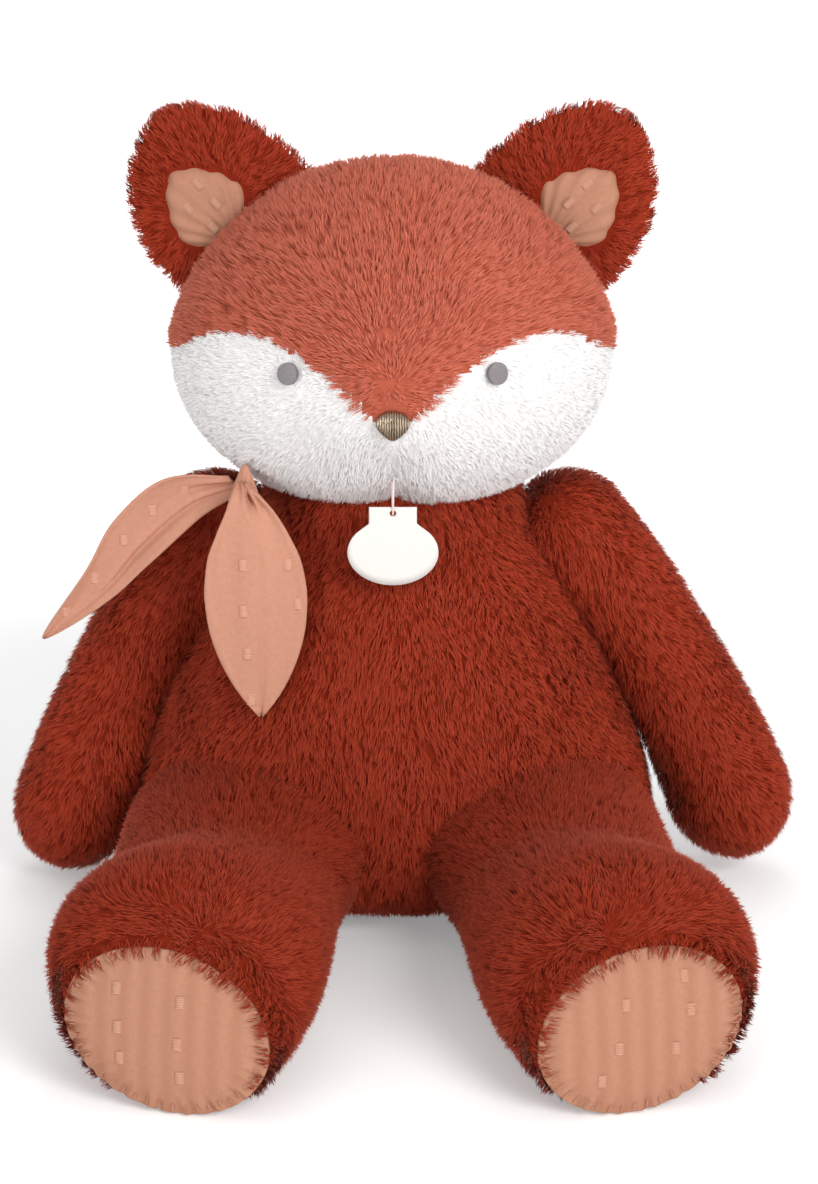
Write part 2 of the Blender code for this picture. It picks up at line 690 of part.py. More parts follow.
def make_arms(torso_side):
    """Fur arms over their fillings, flat where they hang against the body."""
    for side, sign in SIDES.items():
        pivot = joint_empty(f"arm_{side}_axis", shoulder(sign))
        arm = solid("arm_" + side, *arm_form(side), RUST_FUR, pivot)
        cavity = solid("arm_cavity_" + side, *arm_form(side, SKIN, 10, 5))
        opening = shoulder(sign) - np.array([sign * ARM_ROOT_RADIUS, 0, 0])
        mouth = SKIN + GAP
        boolean(arm, torso_side)
        boolean(arm, cavity)
        boolean(arm, solid("arm_mouth_" + side, *ellipsoid(opening, (ARM_RADIUS, mouth, mouth), 12, 5)))
        filling = solid("arm_filling_" + side, *arm_form(side, SKIN + GAP, 10, 5), FIBRE, pivot)
        boolean(filling, torso_side)


# Legs


def hip(sign):
    return np.array([sign * HIP_SPACING / 2, -HIP_FORWARD, HIP_RADIUS - SEAT_CUT])


def foot_axes(side):
    """Middle of a foot's front, and the directions that it faces, to its right and up."""
    sign = SIDES[side]
    level = math.cos(FOOT_TILT)
    across, ahead = sign * math.sin(FOOT_TOE_OUT) * level, math.cos(FOOT_TOE_OUT) * level
    facing = np.array([across, -ahead, math.sin(FOOT_TILT)])
    right = np.cross(facing, (0, 0, UNIT)) / level
    end = hip(sign) + np.array([sign * LEG_SPREADS[side], -LEG_REACH, 0])
    end[2] = FOOT_END_HALF_HEIGHT - SEAT_CUT
    return end, facing, right, np.cross(right, facing)


def leg_form(side, inset=0.0, sides=20, rows=9):
    """A leg from its round hip root to a swollen foot whose blunt front tilts up."""
    sign = SIDES[side]
    start = hip(sign)
    end, facing, _, _ = foot_axes(side)
    shares = np.append(np.linspace(0, LEG_STATION_SHARES[-2], rows - 1), 1)
    path = start + shares[:, None] * (end - facing * inset - start)
    stations = LEG_STATION_SHARES
    near_width = (FOOT_HALF_WIDTH + FOOT_END_HALF_WIDTH) / 2
    near_height = (FOOT_HALF_HEIGHT + FOOT_END_HALF_HEIGHT) / 2
    widths = (HIP_HALF_WIDTH, SHIN_HALF_WIDTH) + (FOOT_HALF_WIDTH,) * 2 + (near_width, FOOT_END_HALF_WIDTH)
    heights = (HIP_RADIUS, SHIN_RADIUS) + (FOOT_HALF_HEIGHT,) * 2 + (near_height, FOOT_END_HALF_HEIGHT)
    width = np.interp(shares, stations, widths) - inset
    height = np.interp(shares, stations, heights) - inset
    path[:-1, 2] = height[:-1] + inset - SEAT_CUT
    root = HIP_RADIUS - inset
    back = np.linspace(math.pi / 2, 0, 5)[1:-1]
    behind = start + np.outer(root * np.sin(back), (0, UNIT, 0))
    ahead = np.array([0, -UNIT, 0]) + np.clip(2 * shares - 1, 0, 1)[:, None] * (facing + (0, UNIT, 0))
    along = np.vstack([np.tile((0, -UNIT, 0), (len(back), 1)), ahead])
    path = np.vstack([behind, path])
    width = np.concatenate([(HIP_HALF_WIDTH - inset) * np.cos(back), width])
    height = np.concatenate([root * np.cos(back), height])
    roll = np.concatenate([np.zeros(len(back)), sign * FOOT_ROLL * np.clip(shares * 2 - 1, 0, 1)])
    rings = tube_rings(path, width, height, sides, (-UNIT, 0, 0), -roll, along)
    return lofted(rings, start + np.array([0, root, 0]), path[-1] + facing * SOLE_CROWN)


def sole_rings(side, grow, low, high, sides=28):
    """Oval rings of a sole, rolled outwards, between two depths along the foot."""
    end, facing, right, up = foot_axes(side)
    around = np.linspace(0, 2 * math.pi, sides, endpoint=False)
    flat = (SOLE_HALF_LENGTH + grow) * np.cos(around)
    tall = (SOLE_HALF_HEIGHT + grow) * np.sin(around)
    roll = -SIDES[side] * FOOT_ROLL
    across = flat * math.cos(roll) - tall * math.sin(roll)
    above = flat * math.sin(roll) + tall * math.cos(roll)
    middle = end - up * (FOOT_END_HALF_HEIGHT - SOLE_HALF_HEIGHT) / 2
    oval = middle + across[:, None] * right + above[:, None] * up
    return [oval + low * facing, oval + high * facing], middle + low * facing, middle + high * facing


def make_legs(floor):
    for side, sign in SIDES.items():
        pivot = joint_empty(f"leg_{side}_axis", hip(sign))
        leg = solid("leg_" + side, *leg_form(side), RUST_FUR, pivot)
        boolean(leg, floor)
        boolean(leg, solid("leg_cavity_" + side, *leg_form(side, SKIN, 12, 6)))
        rings, low, high = sole_rings(side, GAP, -SKIN, OVERRUN)
        boolean(leg, solid("sole_pocket_" + side, *lofted(rings, low, high)))
        filling = solid("leg_filling_" + side, *leg_form(side, SKIN + GAP, 12, 6), FIBRE, pivot)
        rings, low, high = sole_rings(side, 0, -SKIN + GAP, 0)
        crown = high + SOLE_CROWN * foot_axes(side)[1]
        solid("sole_" + side, *lofted(rings, low, crown), SOLE_CLOTH, pivot)
        rings, low, high = sole_rings(side, OVERRUN, -SKIN, OVERRUN)
        boolean(filling, solid("sole_room_" + side, *lofted(rings, low, high)))


def hip_room(side, rows=7, turns=7):
    """The room that a leg's root and thigh sweep through in the body, as one fan from side to side."""
    sign = SIDES[side]
    middle = hip(sign)
    half = round_out(HIP_HALF_WIDTH + GAP, 2 * (rows + 1))
    ball = round_out(round_out(HIP_RADIUS + GAP, 2 * turns), 2 * (rows + 1))
    behind = np.linspace(math.pi / 2 + LEG_UP, 1.5 * math.pi - LEG_DOWN, turns)
    rings = []
    for latitude in np.linspace(-math.pi / 2, math.pi / 2, rows + 2)[1:-1]:
        high = ball * math.cos(latitude)
        ahead = [high * np.cos(behind)]
        above = [high * np.sin(behind)]
        for swing, edge in ((-LEG_DOWN, -high), (LEG_UP, high)):
            ahead.append([HIP_SWEEP * math.cos(swing) - edge * math.sin(swing)])
            above.append([HIP_SWEEP * math.sin(swing) + edge * math.cos(swing)])
        ahead, above = np.concatenate(ahead), np.concatenate(above)
        spread = np.maximum(ahead, 0) * LEG_SPREADS[side] / LEG_REACH
        x = middle[0] + half * math.sin(latitude) + sign * spread
        rings.append(np.stack([x, middle[1] - ahead, middle[2] + above], axis=1))
    ends = [np.mean(ring, axis=0) for ring in (rings[0], rings[-1])]
    ends[0][0] = middle[0] - half
    ends[1][0] = middle[0] + half
    return solid("hip_room_" + side, *lofted(rings, *ends))


# Tail


def tail_root():
    return np.array([0, torso_rear(TAIL_ROOT_HEIGHT) + TAIL_ROOT_STANDOFF, TAIL_ROOT_HEIGHT])


def tail_form(inset=0.0, sides=14, rows=12):
    """A brush that swells from a narrow root, sweeps to one side along the floor and tapers to its tip."""
    start = tail_root()
    rest = TAIL_RADIUS - SEAT_CUT
    reach = np.array([TAIL_SWEEP, TAIL_REACH, 0])
    shares = np.linspace(0, 1, rows)
    path = smooth_path([start + reach * step for step in np.array(TAIL_STEP_SHARES)], shares)
    radii = [TAIL_ROOT_RADIUS] * 2 + [TAIL_RADIUS * share for share in TAIL_TAPER_SHARES]
    radius = np.interp(shares, TAIL_STATION_SHARES, radii) - inset
    radius = np.maximum(radius, TAIL_RADIUS * TAIL_LEAST_SHARE)
    path[:, 2] = np.interp(shares, (0, TAIL_STATION_SHARES[2], 1), (start[2], rest, rest))
    root = TAIL_ROOT_RADIUS - inset
    back = np.linspace(math.pi / 2, 0, 4)[1:-1]
    behind = start - np.outer(root * np.sin(back), (0, UNIT, 0))
    path = np.vstack([behind, path])
    radius = np.concatenate([root * np.cos(back), radius])
    rings = tube_rings(path, radius, radius, sides, (0, 0, UNIT))
    tip = path[-1] + (path[-1] - path[-2]) * TAIL_TAPER_SHARES[-1]
    return lofted(rings, start - np.array([0, root, 0]), tip)


def make_tail(floor):
    pivot = joint_empty("tail_axis", tail_root())
    start = tail_root()
    split = start[0] + TAIL_SWEEP * TAIL_TIP_SHARE
    reach = TAIL_SWEEP + TAIL_REACH
    beyond = block("tail_beyond", (split, 0, -reach), (split + reach, start[1] + 2 * reach, reach))
    before = block("tail_before", (-reach, 0, -reach), (split + GAP, start[1] + 2 * reach, reach))
    tail = solid("tail", *tail_form(), RUST_FUR, pivot)
    boolean(tail, floor)
    boolean(tail, beyond)
    boolean(tail, solid("tail_cavity", *tail_form(SKIN, 10, 8)))
    filling = solid("tail_filling", *tail_form(SKIN + GAP, 10, 8), FIBRE, pivot)
    boolean(filling, beyond)
    tip = solid("tail_tip", *tail_form(), WHITE_FUR, pivot)
    boolean(tip, floor)
    boolean(tip, before)


# Scarf


def band_form(grow=0.0, outwards=0.0, pleat_share=BAND_PLEAT_SHARE, sides=36, edge=7):
    """A gathered ring of cloth round the neck's dome. `outwards` opens its outer side."""
    middle = NECK_RADIUS - BAND_SINK
    turns = np.linspace(0, 2 * math.pi, sides, endpoint=False)
    around = np.linspace(0, 2 * math.pi, edge, endpoint=False)
    points = []
    for turn in turns:
        pleat = 1 - pleat_share * (1 - math.cos(BAND_PLEATS * turn))
        thick = BAND_THICKNESS / 2 * pleat + grow
        wide = BAND_WIDTH / 2 * pleat + grow
        for a in around:
            distance = middle + thick * math.cos(a) + outwards * max(math.cos(a), 0)
            points.append(neck_point(distance, BAND_LATITUDE + wide * math.sin(a) / middle, turn))
    faces = []
    for i in range(sides):
        for j in range(edge):
            a, b = (i + 1) % sides, (j + 1) % edge
            faces.append((i * edge + j, a * edge + j, a * edge + b, i * edge + b))
    return points, faces


def knot_place():
    flat = NECK_RADIUS + KNOT_STANDOFF
    return np.array([flat * math.cos(KNOT_ANGLE), flat * math.sin(KNOT_ANGLE), NECK_HEIGHT + KNOT_RISE])


def knot_form(grow=0.0, sides=14):
    """The tied knot: a neck of cloth that comes out from under the head and swells into a bunch."""
    inner = NECK_RADIUS - BAND_SINK
    outer = knot_place()
    out = np.array([math.cos(KNOT_ANGLE), math.sin(KNOT_ANGLE), 0])
    rim = np.array(neck_point(inner, BAND_LATITUDE / 3, KNOT_ANGLE))
    controls = [
        np.array(neck_point(inner, BAND_LATITUDE - BAND_WIDTH / 2 / inner, KNOT_ANGLE)),
        rim,
        (rim + outer) / 2 - np.array([0, 0, KNOT_RADIUS]) / 2,
        outer - out * KNOT_WIDTH / 4,
        outer + out * KNOT_WIDTH / 4,
    ]
    shares = np.linspace(0, 1, 11)
    path = smooth_path(controls, shares)
    neck_width = KNOT_RADIUS * KNOT_NECK_WIDTH_SHARE
    talls = [KNOT_RADIUS] * 2 + [KNOT_WIDTH / 2] * 2 + [KNOT_WIDTH / 4]
    wides = [neck_width] * 2 + [KNOT_LENGTH / 2] * 2 + [KNOT_WIDTH / 4]
    tall = np.interp(shares, KNOT_STATION_SHARES, talls) + grow
    wide = np.interp(shares, KNOT_STATION_SHARES, wides) + grow
    side = np.array([-out[1], out[0], 0])
    rings = tube_rings(path, wide, tall, sides, side)
    first = path[0] - (path[1] - path[0]) / np.linalg.norm(path[1] - path[0]) * grow
    return lofted(rings, first, path[-1] + out * (KNOT_WIDTH / 8 + grow))


def leaf_form(path, across, normal, half_width, thickness, fold, columns=9):
    """A leaf of doubled cloth along a path. `fold` lifts it along its normal by place across it."""
    shares = np.linspace(0, 1, len(path))
    u = np.linspace(-1, 1, columns)
    power, least = LEAF_EDGE_SHARES
    edge = np.sqrt(np.maximum(1 - u**power, least))
    rings = []
    for i, share in enumerate(shares):
        spread = half_width[i] * u
        lift = fold(share, u)
        body = path[i] + spread[:, None] * across
        front = body + (lift + thickness / 2 * edge)[:, None] * normal
        rear = body + (lift - thickness / 2 * edge)[:, None] * normal
        rings.append(np.vstack([front, rear[::-1]]))
    return lofted(rings, path[0], path[-1])


def leaf_widths(shares, widest, root, place):
    """Half widths of a leaf: narrow at the knot, widest at `place`, and pointed at the tip."""
    rise = np.clip(shares / place, 0, 1)
    fall = np.clip((shares - place) / (1 - place), 0, 1)
    swell = root + (widest - root) * np.sin(rise * math.pi / 2)
    return swell * np.cos(fall * math.pi / 2) ** LEAF_POINT_SHARE + root * LEAF_END_SHARE


def front_tail_path(rows=13):
    top = knot_place() + FRONT_TAIL_FROM_KNOT
    shares = np.linspace(0, 1, rows)
    bow = np.sin(shares * math.pi) * FRONT_TAIL_BOW
    path = top + np.stack(
        [FRONT_TAIL_LEAN * shares, -FRONT_TAIL_ADVANCE * shares - bow, -FRONT_TAIL_LENGTH * shares], axis=1
    )
    return shares, path


def make_front_tail(pivot):
    """The leaf-shaped end that hangs down the chest, with one deep pleat below the knot."""
    shares, path = front_tail_path()
    widths = leaf_widths(shares, FRONT_TAIL_HALF_WIDTH, KNOT_LENGTH / 4, FRONT_TAIL_WIDEST_SHARE)

    across, spread, along, reach = FRONT_TAIL_PLEAT_SHARES
    lift, turns = FRONT_TAIL_WAVE_SHARES

    def fold(share, u):
        pleat = np.exp(-((u - across) ** 2) / spread) * math.exp(-((share - along) ** 2) / reach)
        wave = lift * np.cos(u * math.pi * turns) * math.sin(share * math.pi)
        return FRONT_TAIL_FOLD * (wave - pleat)

    form = leaf_form(path, (UNIT, 0, 0), np.array([0, -UNIT, 0]), widths, SCARF_THICKNESS, fold)
    solid("scarf_tail_front", *form, GAUZE, pivot)


def side_tail_line():
    """The side end's root beside the knot, and its whole reach."""
    reach = np.array([-SIDE_TAIL_REACH, SIDE_TAIL_SETBACK, -SIDE_TAIL_DROP])
    return knot_place() + SIDE_TAIL_FROM_KNOT, reach


def make_side_tail(pivot):
    """The end that lies across the front of the left shoulder and stands off the arm like a wing."""
    start, reach = side_tail_line()
    shares = np.linspace(0, 1, 12)
    path = smooth_path([start] + [start + reach * share for share in SIDE_TAIL_PATH_SHARES], shares)
    widths = leaf_widths(shares, SIDE_TAIL_HALF_WIDTH, SIDE_TAIL_ROOT_HALF_WIDTH, SIDE_TAIL_WIDEST_SHARE)
    slope = math.atan2(SIDE_TAIL_DROP, SIDE_TAIL_REACH)
    across = np.array([-math.sin(slope), 0, math.cos(slope)])

    middle, power = SIDE_TAIL_FOLD_SHARES

    def fold(share, u):
        return SIDE_TAIL_FOLD * (u - middle) ** 2 * math.sin(share * math.pi) ** power

    form = leaf_form(path, across, np.array([0, -UNIT, 0]), widths, SCARF_THICKNESS, fold)
    solid("scarf_tail_side", *form, GAUZE, pivot)


# Hang tag


def tag_anchor():
    height = NECK_HEIGHT + TAG_ANCHOR_RISE
    point = face_point(0, height)
    return Vector((0, point[1] - TAG_ANCHOR_STANDOFF - THREAD_DIAMETER / 2, height))


def make_tag(pivot):
    """An oval card with a straight tab and a hole, hung on a loop of thread."""
    anchor = tag_anchor()
    hole = Vector((anchor[0], anchor[1], anchor[2] - TAG_DROP))
    centre = hole[2] - TAG_TAB_HEIGHT - TAG_HALF_HEIGHT + 2 * TAG_HOLE_RADIUS
    meet = math.acos(TAG_TAB_HALF_WIDTH / TAG_HALF_WIDTH)
    turns = np.linspace(math.pi - meet, 2 * math.pi + meet, 29)
    outline = [(TAG_HALF_WIDTH * math.cos(a), centre + TAG_HALF_HEIGHT * math.sin(a)) for a in turns]
    top = hole[2] + 2 * TAG_HOLE_RADIUS
    outline += [(TAG_TAB_HALF_WIDTH, top), (-TAG_TAB_HALF_WIDTH, top)]
    count = len(outline)
    front, back = anchor[1] - TAG_THICKNESS / 2, anchor[1] + TAG_THICKNESS / 2
    points = [(x, y, z) for y in (front, back) for x, z in outline]
    faces = [tuple(range(count)), tuple(range(2 * count - 1, count - 1, -1))]
    faces += [(k, (k + 1) % count, count + (k + 1) % count, count + k) for k in range(count)]
    card = solid("tag_card", points, faces, CARD, pivot)
    around = np.linspace(0, 2 * math.pi, 16, endpoint=False)
    ring = TAG_HOLE_RADIUS * np.stack([np.cos(around), np.zeros(len(around)), np.sin(around)], axis=1)
    ahead = np.array([0, TAG_HOLE_RADIUS, 0])
    near, far = np.array(hole) - ahead, np.array(hole) + ahead
    boolean(card, solid("tag_hole", *lofted([near + ring, far + ring], near, far)))
    make_thread(pivot, anchor, hole)


def make_thread(pivot, anchor, hole, count=28, sides=5):
    """A closed loop of thread that passes through the hole and up to the chin seam."""
    low = hole[2] - TAG_HOLE_RADIUS + THREAD_DIAMETER / 2 + GAP
    length = (anchor[2] - low) / 2
    middle = np.array([anchor[0], anchor[1], low + length])
    turns = np.linspace(0, 2 * math.pi, count, endpoint=False)
    path = middle + np.stack(
        [np.zeros(count), THREAD_LOOP_WIDTH / 2 * np.sin(turns), -length * np.cos(turns)], axis=1
    )
    ahead = np.roll(path, -1, axis=0) - np.roll(path, 1, axis=0)
    ahead /= np.linalg.norm(ahead, axis=1, keepdims=True)
    side = np.array([UNIT, 0, 0])
    out = np.cross(ahead, side)
    around = np.linspace(0, 2 * math.pi, sides, endpoint=False)
    radius = THREAD_DIAMETER / 2
    points = []
    for i in range(count):
        for a in around:
            points.append(path[i] + radius * (math.cos(a) * side + math.sin(a) * out[i]))
    faces = []
    for i in range(count):
        for j in range(sides):
            a, b = (i + 1) % count, (j + 1) % sides
            faces.append((i * sides + j, a * sides + j, a * sides + b, i * sides + b))
    solid("tag_thread", points, faces, TWIST, pivot)


# Assembly


def make_torso(floor):
    """Body skin and filling, with dimples for the limbs' round roots and a groove for the scarf."""
    skin = solid("torso_skin", *torso_form(), RUST_FUR)
    filling = solid("body_filling", *torso_form(SKIN + GAP, 16, 3, 5, 2), FIBRE)
    dome_radius = NECK_RADIUS * NECK_DOME_SHARE
    dome = solid("neck_dome", *neck_plug_form(dome_radius, NECK_RADIUS, NECK_HEIGHT - SKIN, 24))
    rooms = []
    for side, sign in SIDES.items():
        rooms.append(ball_room("shoulder_room_" + side, shoulder(sign), ARM_ROOT_RADIUS + GAP, 16, 7))
        rooms.append(hip_room(side))
    rooms.append(ball_room("tail_room", tail_root(), TAIL_ROOT_RADIUS + GAP, 12, 5))
    collar = NECK_HEIGHT + COLLAR_HEIGHT
    reach = NECK_RADIUS + OVERRUN
    above = block("above_collar", (-reach, -reach, collar), (reach, reach, collar + reach))
    below = block("below_collar", (-reach, -reach, 0), (reach, reach, collar + GAP))
    boolean(skin, floor)
    boolean(skin, solid("body_cavity", *torso_form(SKIN, 16, 3, 5, 2)))
    boolean(skin, above)
    boolean(dome, below)
    boolean(filling, dome, "UNION")
    band_room = solid("band_room", *band_form(2 * GAP, BAND_SINK, 0, 28, 8))
    knot_room = solid("knot_room", *knot_form(GAP))
    bottom = NECK_HEIGHT + NECK_RADIUS - NECK_PLUG_DEPTH - GAP
    plug_radius = round_out(NECK_PLUG_RADIUS + GAP, PLUG_SIDES)
    plug_room = solid("plug_room", *neck_plug_form(plug_radius, NECK_RADIUS + OVERRUN, bottom))
    for room in rooms + [knot_room]:
        boolean(skin, room)
        boolean(filling, room)
    boolean(filling, band_room)
    boolean(filling, plug_room)


def make_scarf_on_body():
    """The band in its groove, and the knot, flattened where the nodding chin comes down on it."""
    solid("scarf_band", *band_form(), GAUZE)
    knot = solid("scarf_knot", *knot_form(), GAUZE)
    boolean(knot, bpy.data.objects["band_room"])
    points, faces = head_form(-GAP)
    points = turned(points, (0, 0, NECK_HEIGHT), (UNIT, 0, 0), NOD_FORWARD)
    boolean(knot, solid("nodded_head", points, faces))


def torso_against_arms():
    """The body's outside less a true ball at each shoulder: it trims the arms to turn in their rooms."""
    form = solid("torso_against_arms", *torso_form(-GAP))
    radius = ARM_ROOT_RADIUS + GAP
    for side, sign in SIDES.items():
        ball = ellipsoid(shoulder(sign), (radius, radius, radius), 32, 15)
        boolean(form, solid("shoulder_ball_" + side, *ball))
    return form


def main():
    clear_scene()
    floor = floor_cutter()
    make_torso(floor)
    make_scarf_on_body()
    neck = joint_empty("neck_turn_axis", (0, 0, NECK_HEIGHT))
    plug = neck_plug_form(NECK_PLUG_RADIUS, NECK_RADIUS, NECK_HEIGHT + NECK_RADIUS - NECK_PLUG_DEPTH)
    solid("neck_filling", *plug, FIBRE, neck)
    nod = joint_empty("neck_nod_axis", (0, 0, NECK_HEIGHT), neck)
    make_head(nod)
    make_face(nod)
    make_ears(nod)
    make_arms(torso_against_arms())
    make_legs(floor)
    make_tail(floor)
    _, path = front_tail_path()
    make_front_tail(joint_empty("scarf_front_axis", path[0]))
    start, reach = side_tail_line()
    make_side_tail(joint_empty("scarf_side_axis", start + reach * SIDE_TAIL_HINGE_SHARE))
    make_tag(joint_empty("tag_axis", tag_anchor(), nod))


main()
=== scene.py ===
"""Dresses the seated plush fox: fur coat, stitched face, gauze scarf, soles and ear linings, hang tag.

Metres, +Z up. The fox faces -Y. Left and right are as seen from the front, so left pieces lie at -X.
"""

import math
from functools import partial

import bpy
import numpy as np
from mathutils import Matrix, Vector


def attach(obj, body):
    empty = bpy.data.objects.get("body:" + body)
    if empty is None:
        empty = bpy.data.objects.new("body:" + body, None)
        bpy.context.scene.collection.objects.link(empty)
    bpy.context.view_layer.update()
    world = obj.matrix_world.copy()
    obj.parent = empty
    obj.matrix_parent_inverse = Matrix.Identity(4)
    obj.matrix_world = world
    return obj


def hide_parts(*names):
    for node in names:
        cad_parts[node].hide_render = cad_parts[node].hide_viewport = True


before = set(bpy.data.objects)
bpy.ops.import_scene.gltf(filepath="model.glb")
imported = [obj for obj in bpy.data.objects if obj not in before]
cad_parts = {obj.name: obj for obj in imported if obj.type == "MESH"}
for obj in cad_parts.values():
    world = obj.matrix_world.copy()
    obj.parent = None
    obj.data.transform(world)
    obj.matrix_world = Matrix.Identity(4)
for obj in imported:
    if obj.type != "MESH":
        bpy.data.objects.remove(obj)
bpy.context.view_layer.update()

bl_info = {
    "name": "Plush Fox Dressing",
    "version": (1, 0, 0),
    "blender": (4, 5, 0),
    "location": "View3D > Sidebar > Plush Fox",
    "description": "Dresses the seated plush fox with fur, stitched face, gauze scarf, soles and a hang tag",
    "category": "Object",
}

SIDES = {"left": -1, "right": 1}

# Stage: lamps are name, place, height of the target, diameter, watts and colour
FRAME_WIDTH = 818
FRAME_HEIGHT = 1184
VIEW_TARGET = (0.0, 0.0, 0.2)
TARGET_PIXEL = (393.0, 467.6)
SENSOR = 36.0
WORLD_STRENGTH = 0.58
LAMPS = (
    ("key_lamp", (0.95, -1.7, 1.15), 0.2, 1.1, 29.0, (1.0, 0.985, 0.97)),
    ("fill_lamp", (-1.05, -1.65, 0.5), 0.2, 0.9, 8.0, (1.0, 0.99, 0.98)),
    ("top_lamp", (0.1, 0.7, 1.7), 0.25, 1.0, 4.0, (1.0, 1.0, 1.0)),
)
FLOOR_HALF_SIZE = 4.0
FLOOR_LIFT_DISTANCES = (0.34, 0.75)
FLOOR_LIFTS = (0.26, 1.0)

# Pile: the backing lies this far inside the sewn outline, and the hair tips reach it
BACKING_INSET = 0.004
FLOOR_CLEARANCE = 0.0004
PRESSED_HEIGHT = 0.0035
HAIRS_PER_PIECE = 62000
CLEAR_OF_LIMBS = 0.006
CLEAR_OF_TORSO = 0.004
CHEEK_PILE_SHARE = 0.60

# How the hairs differ from each other, in radians or as shares, and how they bend and catch light
SWIRL_TURN = 0.45
SWIRL_RISE = 0.12
SWIRL_SCALES = (0.008, 0.011)
TURN_SPREAD = 0.16
RISE_SPREAD = 0.16
STRAY_SPREAD = 0.10
LENGTH_SHARES = (0.72, 1.12)
WIDTH_SHARES = (0.8, 1.25)
ROOT_DEPTH = 0.0006
HAIR_BEND = (0.17, 0.06)
HAIR_SHADE = (0.9, 0.30)

# Torso
TORSO_HALF_WIDTH = 0.1235
TORSO_WIDEST = 0.035
TORSO_FRONT = 0.092
TORSO_BACK = 0.084
SHOULDER_LINE = 0.180
NECK_HEIGHT = 0.172
NECK_RADIUS = 0.0647
TORSO_SLOPES = (1.5, 1.8, 1.6)
TORSO_FUR_TOP = 0.2062
CHEST_FOLD_HEIGHT = 0.176
BELLY_FOLD_HEIGHT = 0.108
CHEST_DIMPLE = (0.026, 0.133)

# Head
HEAD_HALF_WIDTH = 0.1022
HEAD_FRONT = 0.078
HEAD_BACK = 0.070
HEAD_SETBACK = -0.012
HEAD_BOTTOM = 0.1875
HEAD_WIDEST = 0.262
HEAD_TOP = 0.3485
MUZZLE_REACH = 0.012
MUZZLE_WIDTH = 0.034
MUZZLE_HEIGHT = 0.030
CHIN_CLEFT = 0.004
CHIN_CLEFT_WIDTH = 0.011
CHIN_NOTCH = 0.0035
CHIN_NOTCH_WIDTH = 0.012
CROWN_POWERS = (1.6, 0.5)
JAW_POWERS = (2.1, 0.42)
CHEEK_EDGE_ACROSS = (0.0, 0.06, 0.24, 0.42, 0.54, 0.66, 0.78, 0.90, 1.0, 1.25)
CHEEK_EDGE_UP = (0.375, 0.385, 0.485, 0.55, 0.575, 0.575, 0.555, 0.50, 0.455, 0.43)
NECK_OPENING = (0.197, 0.045)
PILE_CROWN_RISE = 0.02
CHIN_PARTING_WIDTH = 0.008
SEAM_PARTING_WIDTH = 0.0021
SPOT_PARTING_REACH = 0.007
SPOT_SHORT_REACH = 0.008

# Face
EYE_DIAMETER = 0.0094
EYE_BULGE = 0.0012
EYE_SPACING = 0.091
EYE_HEIGHT = 0.2675
NOSE_WIDTH = 0.0148
NOSE_DEPTH = 0.0130
NOSE_BULGE = 0.0042
NOSE_HEIGHT = 0.2500
NOSE_THREAD_PITCH = 0.0011
NOSE_THREAD_RELIEF = 0.00022
NOSE_THREAD_WAVER = (0.6, 900)
NOSE_SINK = 0.001
NOSE_FLAT_BACK = 0.0004
EYE_STAND = 0.0002
STITCHING_DEPTH = 0.002

# Ears
EAR_HALF_WIDTH = 0.0415
EAR_LENGTH = 0.064
EAR_ROOT = 0.022
EAR_THICKNESS = 0.023
EAR_TILT = math.radians(45.0)
EAR_ALONG = 0.050
EAR_SETBACK = 0.018
EAR_SINK = 0.0105
EAR_SKEW = 0.0070
EAR_TAPER = 0.45
EAR_POWERS = (2.6, 0.62)
EAR_BACKING_INSET = 0.003
LINING_HALF_WIDTH = 0.0180
LINING_LENGTH = 0.040
LINING_PINCH = 0.35
LINING_OFFSET = 0.004
LINING_RISE = 0.0088
LINING_DOME = 0.0010
LINING_EDGE_DROP = 0.0034
LINING_PLEAT = 0.0007
LINING_PLEATS = 26
LINING_FAN_SHARE = 0.62
LINING_PILE_DROP = 0.004
LINING_THICKNESS = 0.0012

# Arms
ARM_LENGTH = 0.182
ARM_ROOT_RADIUS = 0.031
ARM_RADIUS = 0.0275
HAND_RADIUS = 0.0305
SHOULDER = (0.08201, 0.003, 0.168)
ARM_SPLAYS = {"left": math.radians(25.0), "right": math.radians(29.0)}
ARM_BEND = math.radians(12.0)
HAND_ADVANCE = 0.010

# Legs: the front of a foot closes in by shares of its last section, each a little further out
HIP = (0.064, -0.052, 0.0405)
HIP_HALF_WIDTH = 0.060
HIP_RADIUS = 0.041
LEG_REACH = 0.194
LEG_SPREADS = {"left": 0.029, "right": 0.037}
LEG_SHARES = (0.0, 0.42, 0.74, 0.87, 0.96, 1.0)
LEG_HALF_WIDTHS = (0.060, 0.053, 0.059, 0.059, 0.0545, 0.050)
LEG_HALF_HEIGHTS = (0.041, 0.0385, 0.047, 0.047, 0.04275, 0.0385)
SEAT_CUT = 0.0005
FOOT_TOE_OUT = math.radians(12.0)
FOOT_TILT = math.radians(10.0)
FOOT_ROLL = math.radians(18.0)
FOOT_CREASE = 0.0024
FOOT_CREASE_WIDTH = 0.0045
FOOT_FRONT_SHARES = (0.985, 0.95, 0.9, 0.8, 0.6, 0.3)
FOOT_FRONT_SWELLS = (0.0006, 0.0012, 0.0016, 0.0018, 0.0018, 0.0018)
SOLE_HALF_LENGTH = 0.0435
SOLE_HALF_HEIGHT = 0.0325
SOLE_CROWN = 0.0035
SOLE_BACK = 0.0045
SOLE_EDGE_DROP = 0.0006
SOLE_RIM_DEPTH = 0.003
SOLE_SINK = 0.001
SOLE_BARE_SHARE = 0.985
SOLE_PILE_TURN_SHARE = 1.14
FOOT_BARE_DEPTH = 0.012
FOOT_PILE_TURN = (-0.022, -0.004)
FOOT_LONG_PILE = (-0.016, -0.002)
FOOT_PARTING = (-0.045, -0.025)
FOOT_PARTING_WIDTH = 0.0035
SOLE_GATHERS = 46
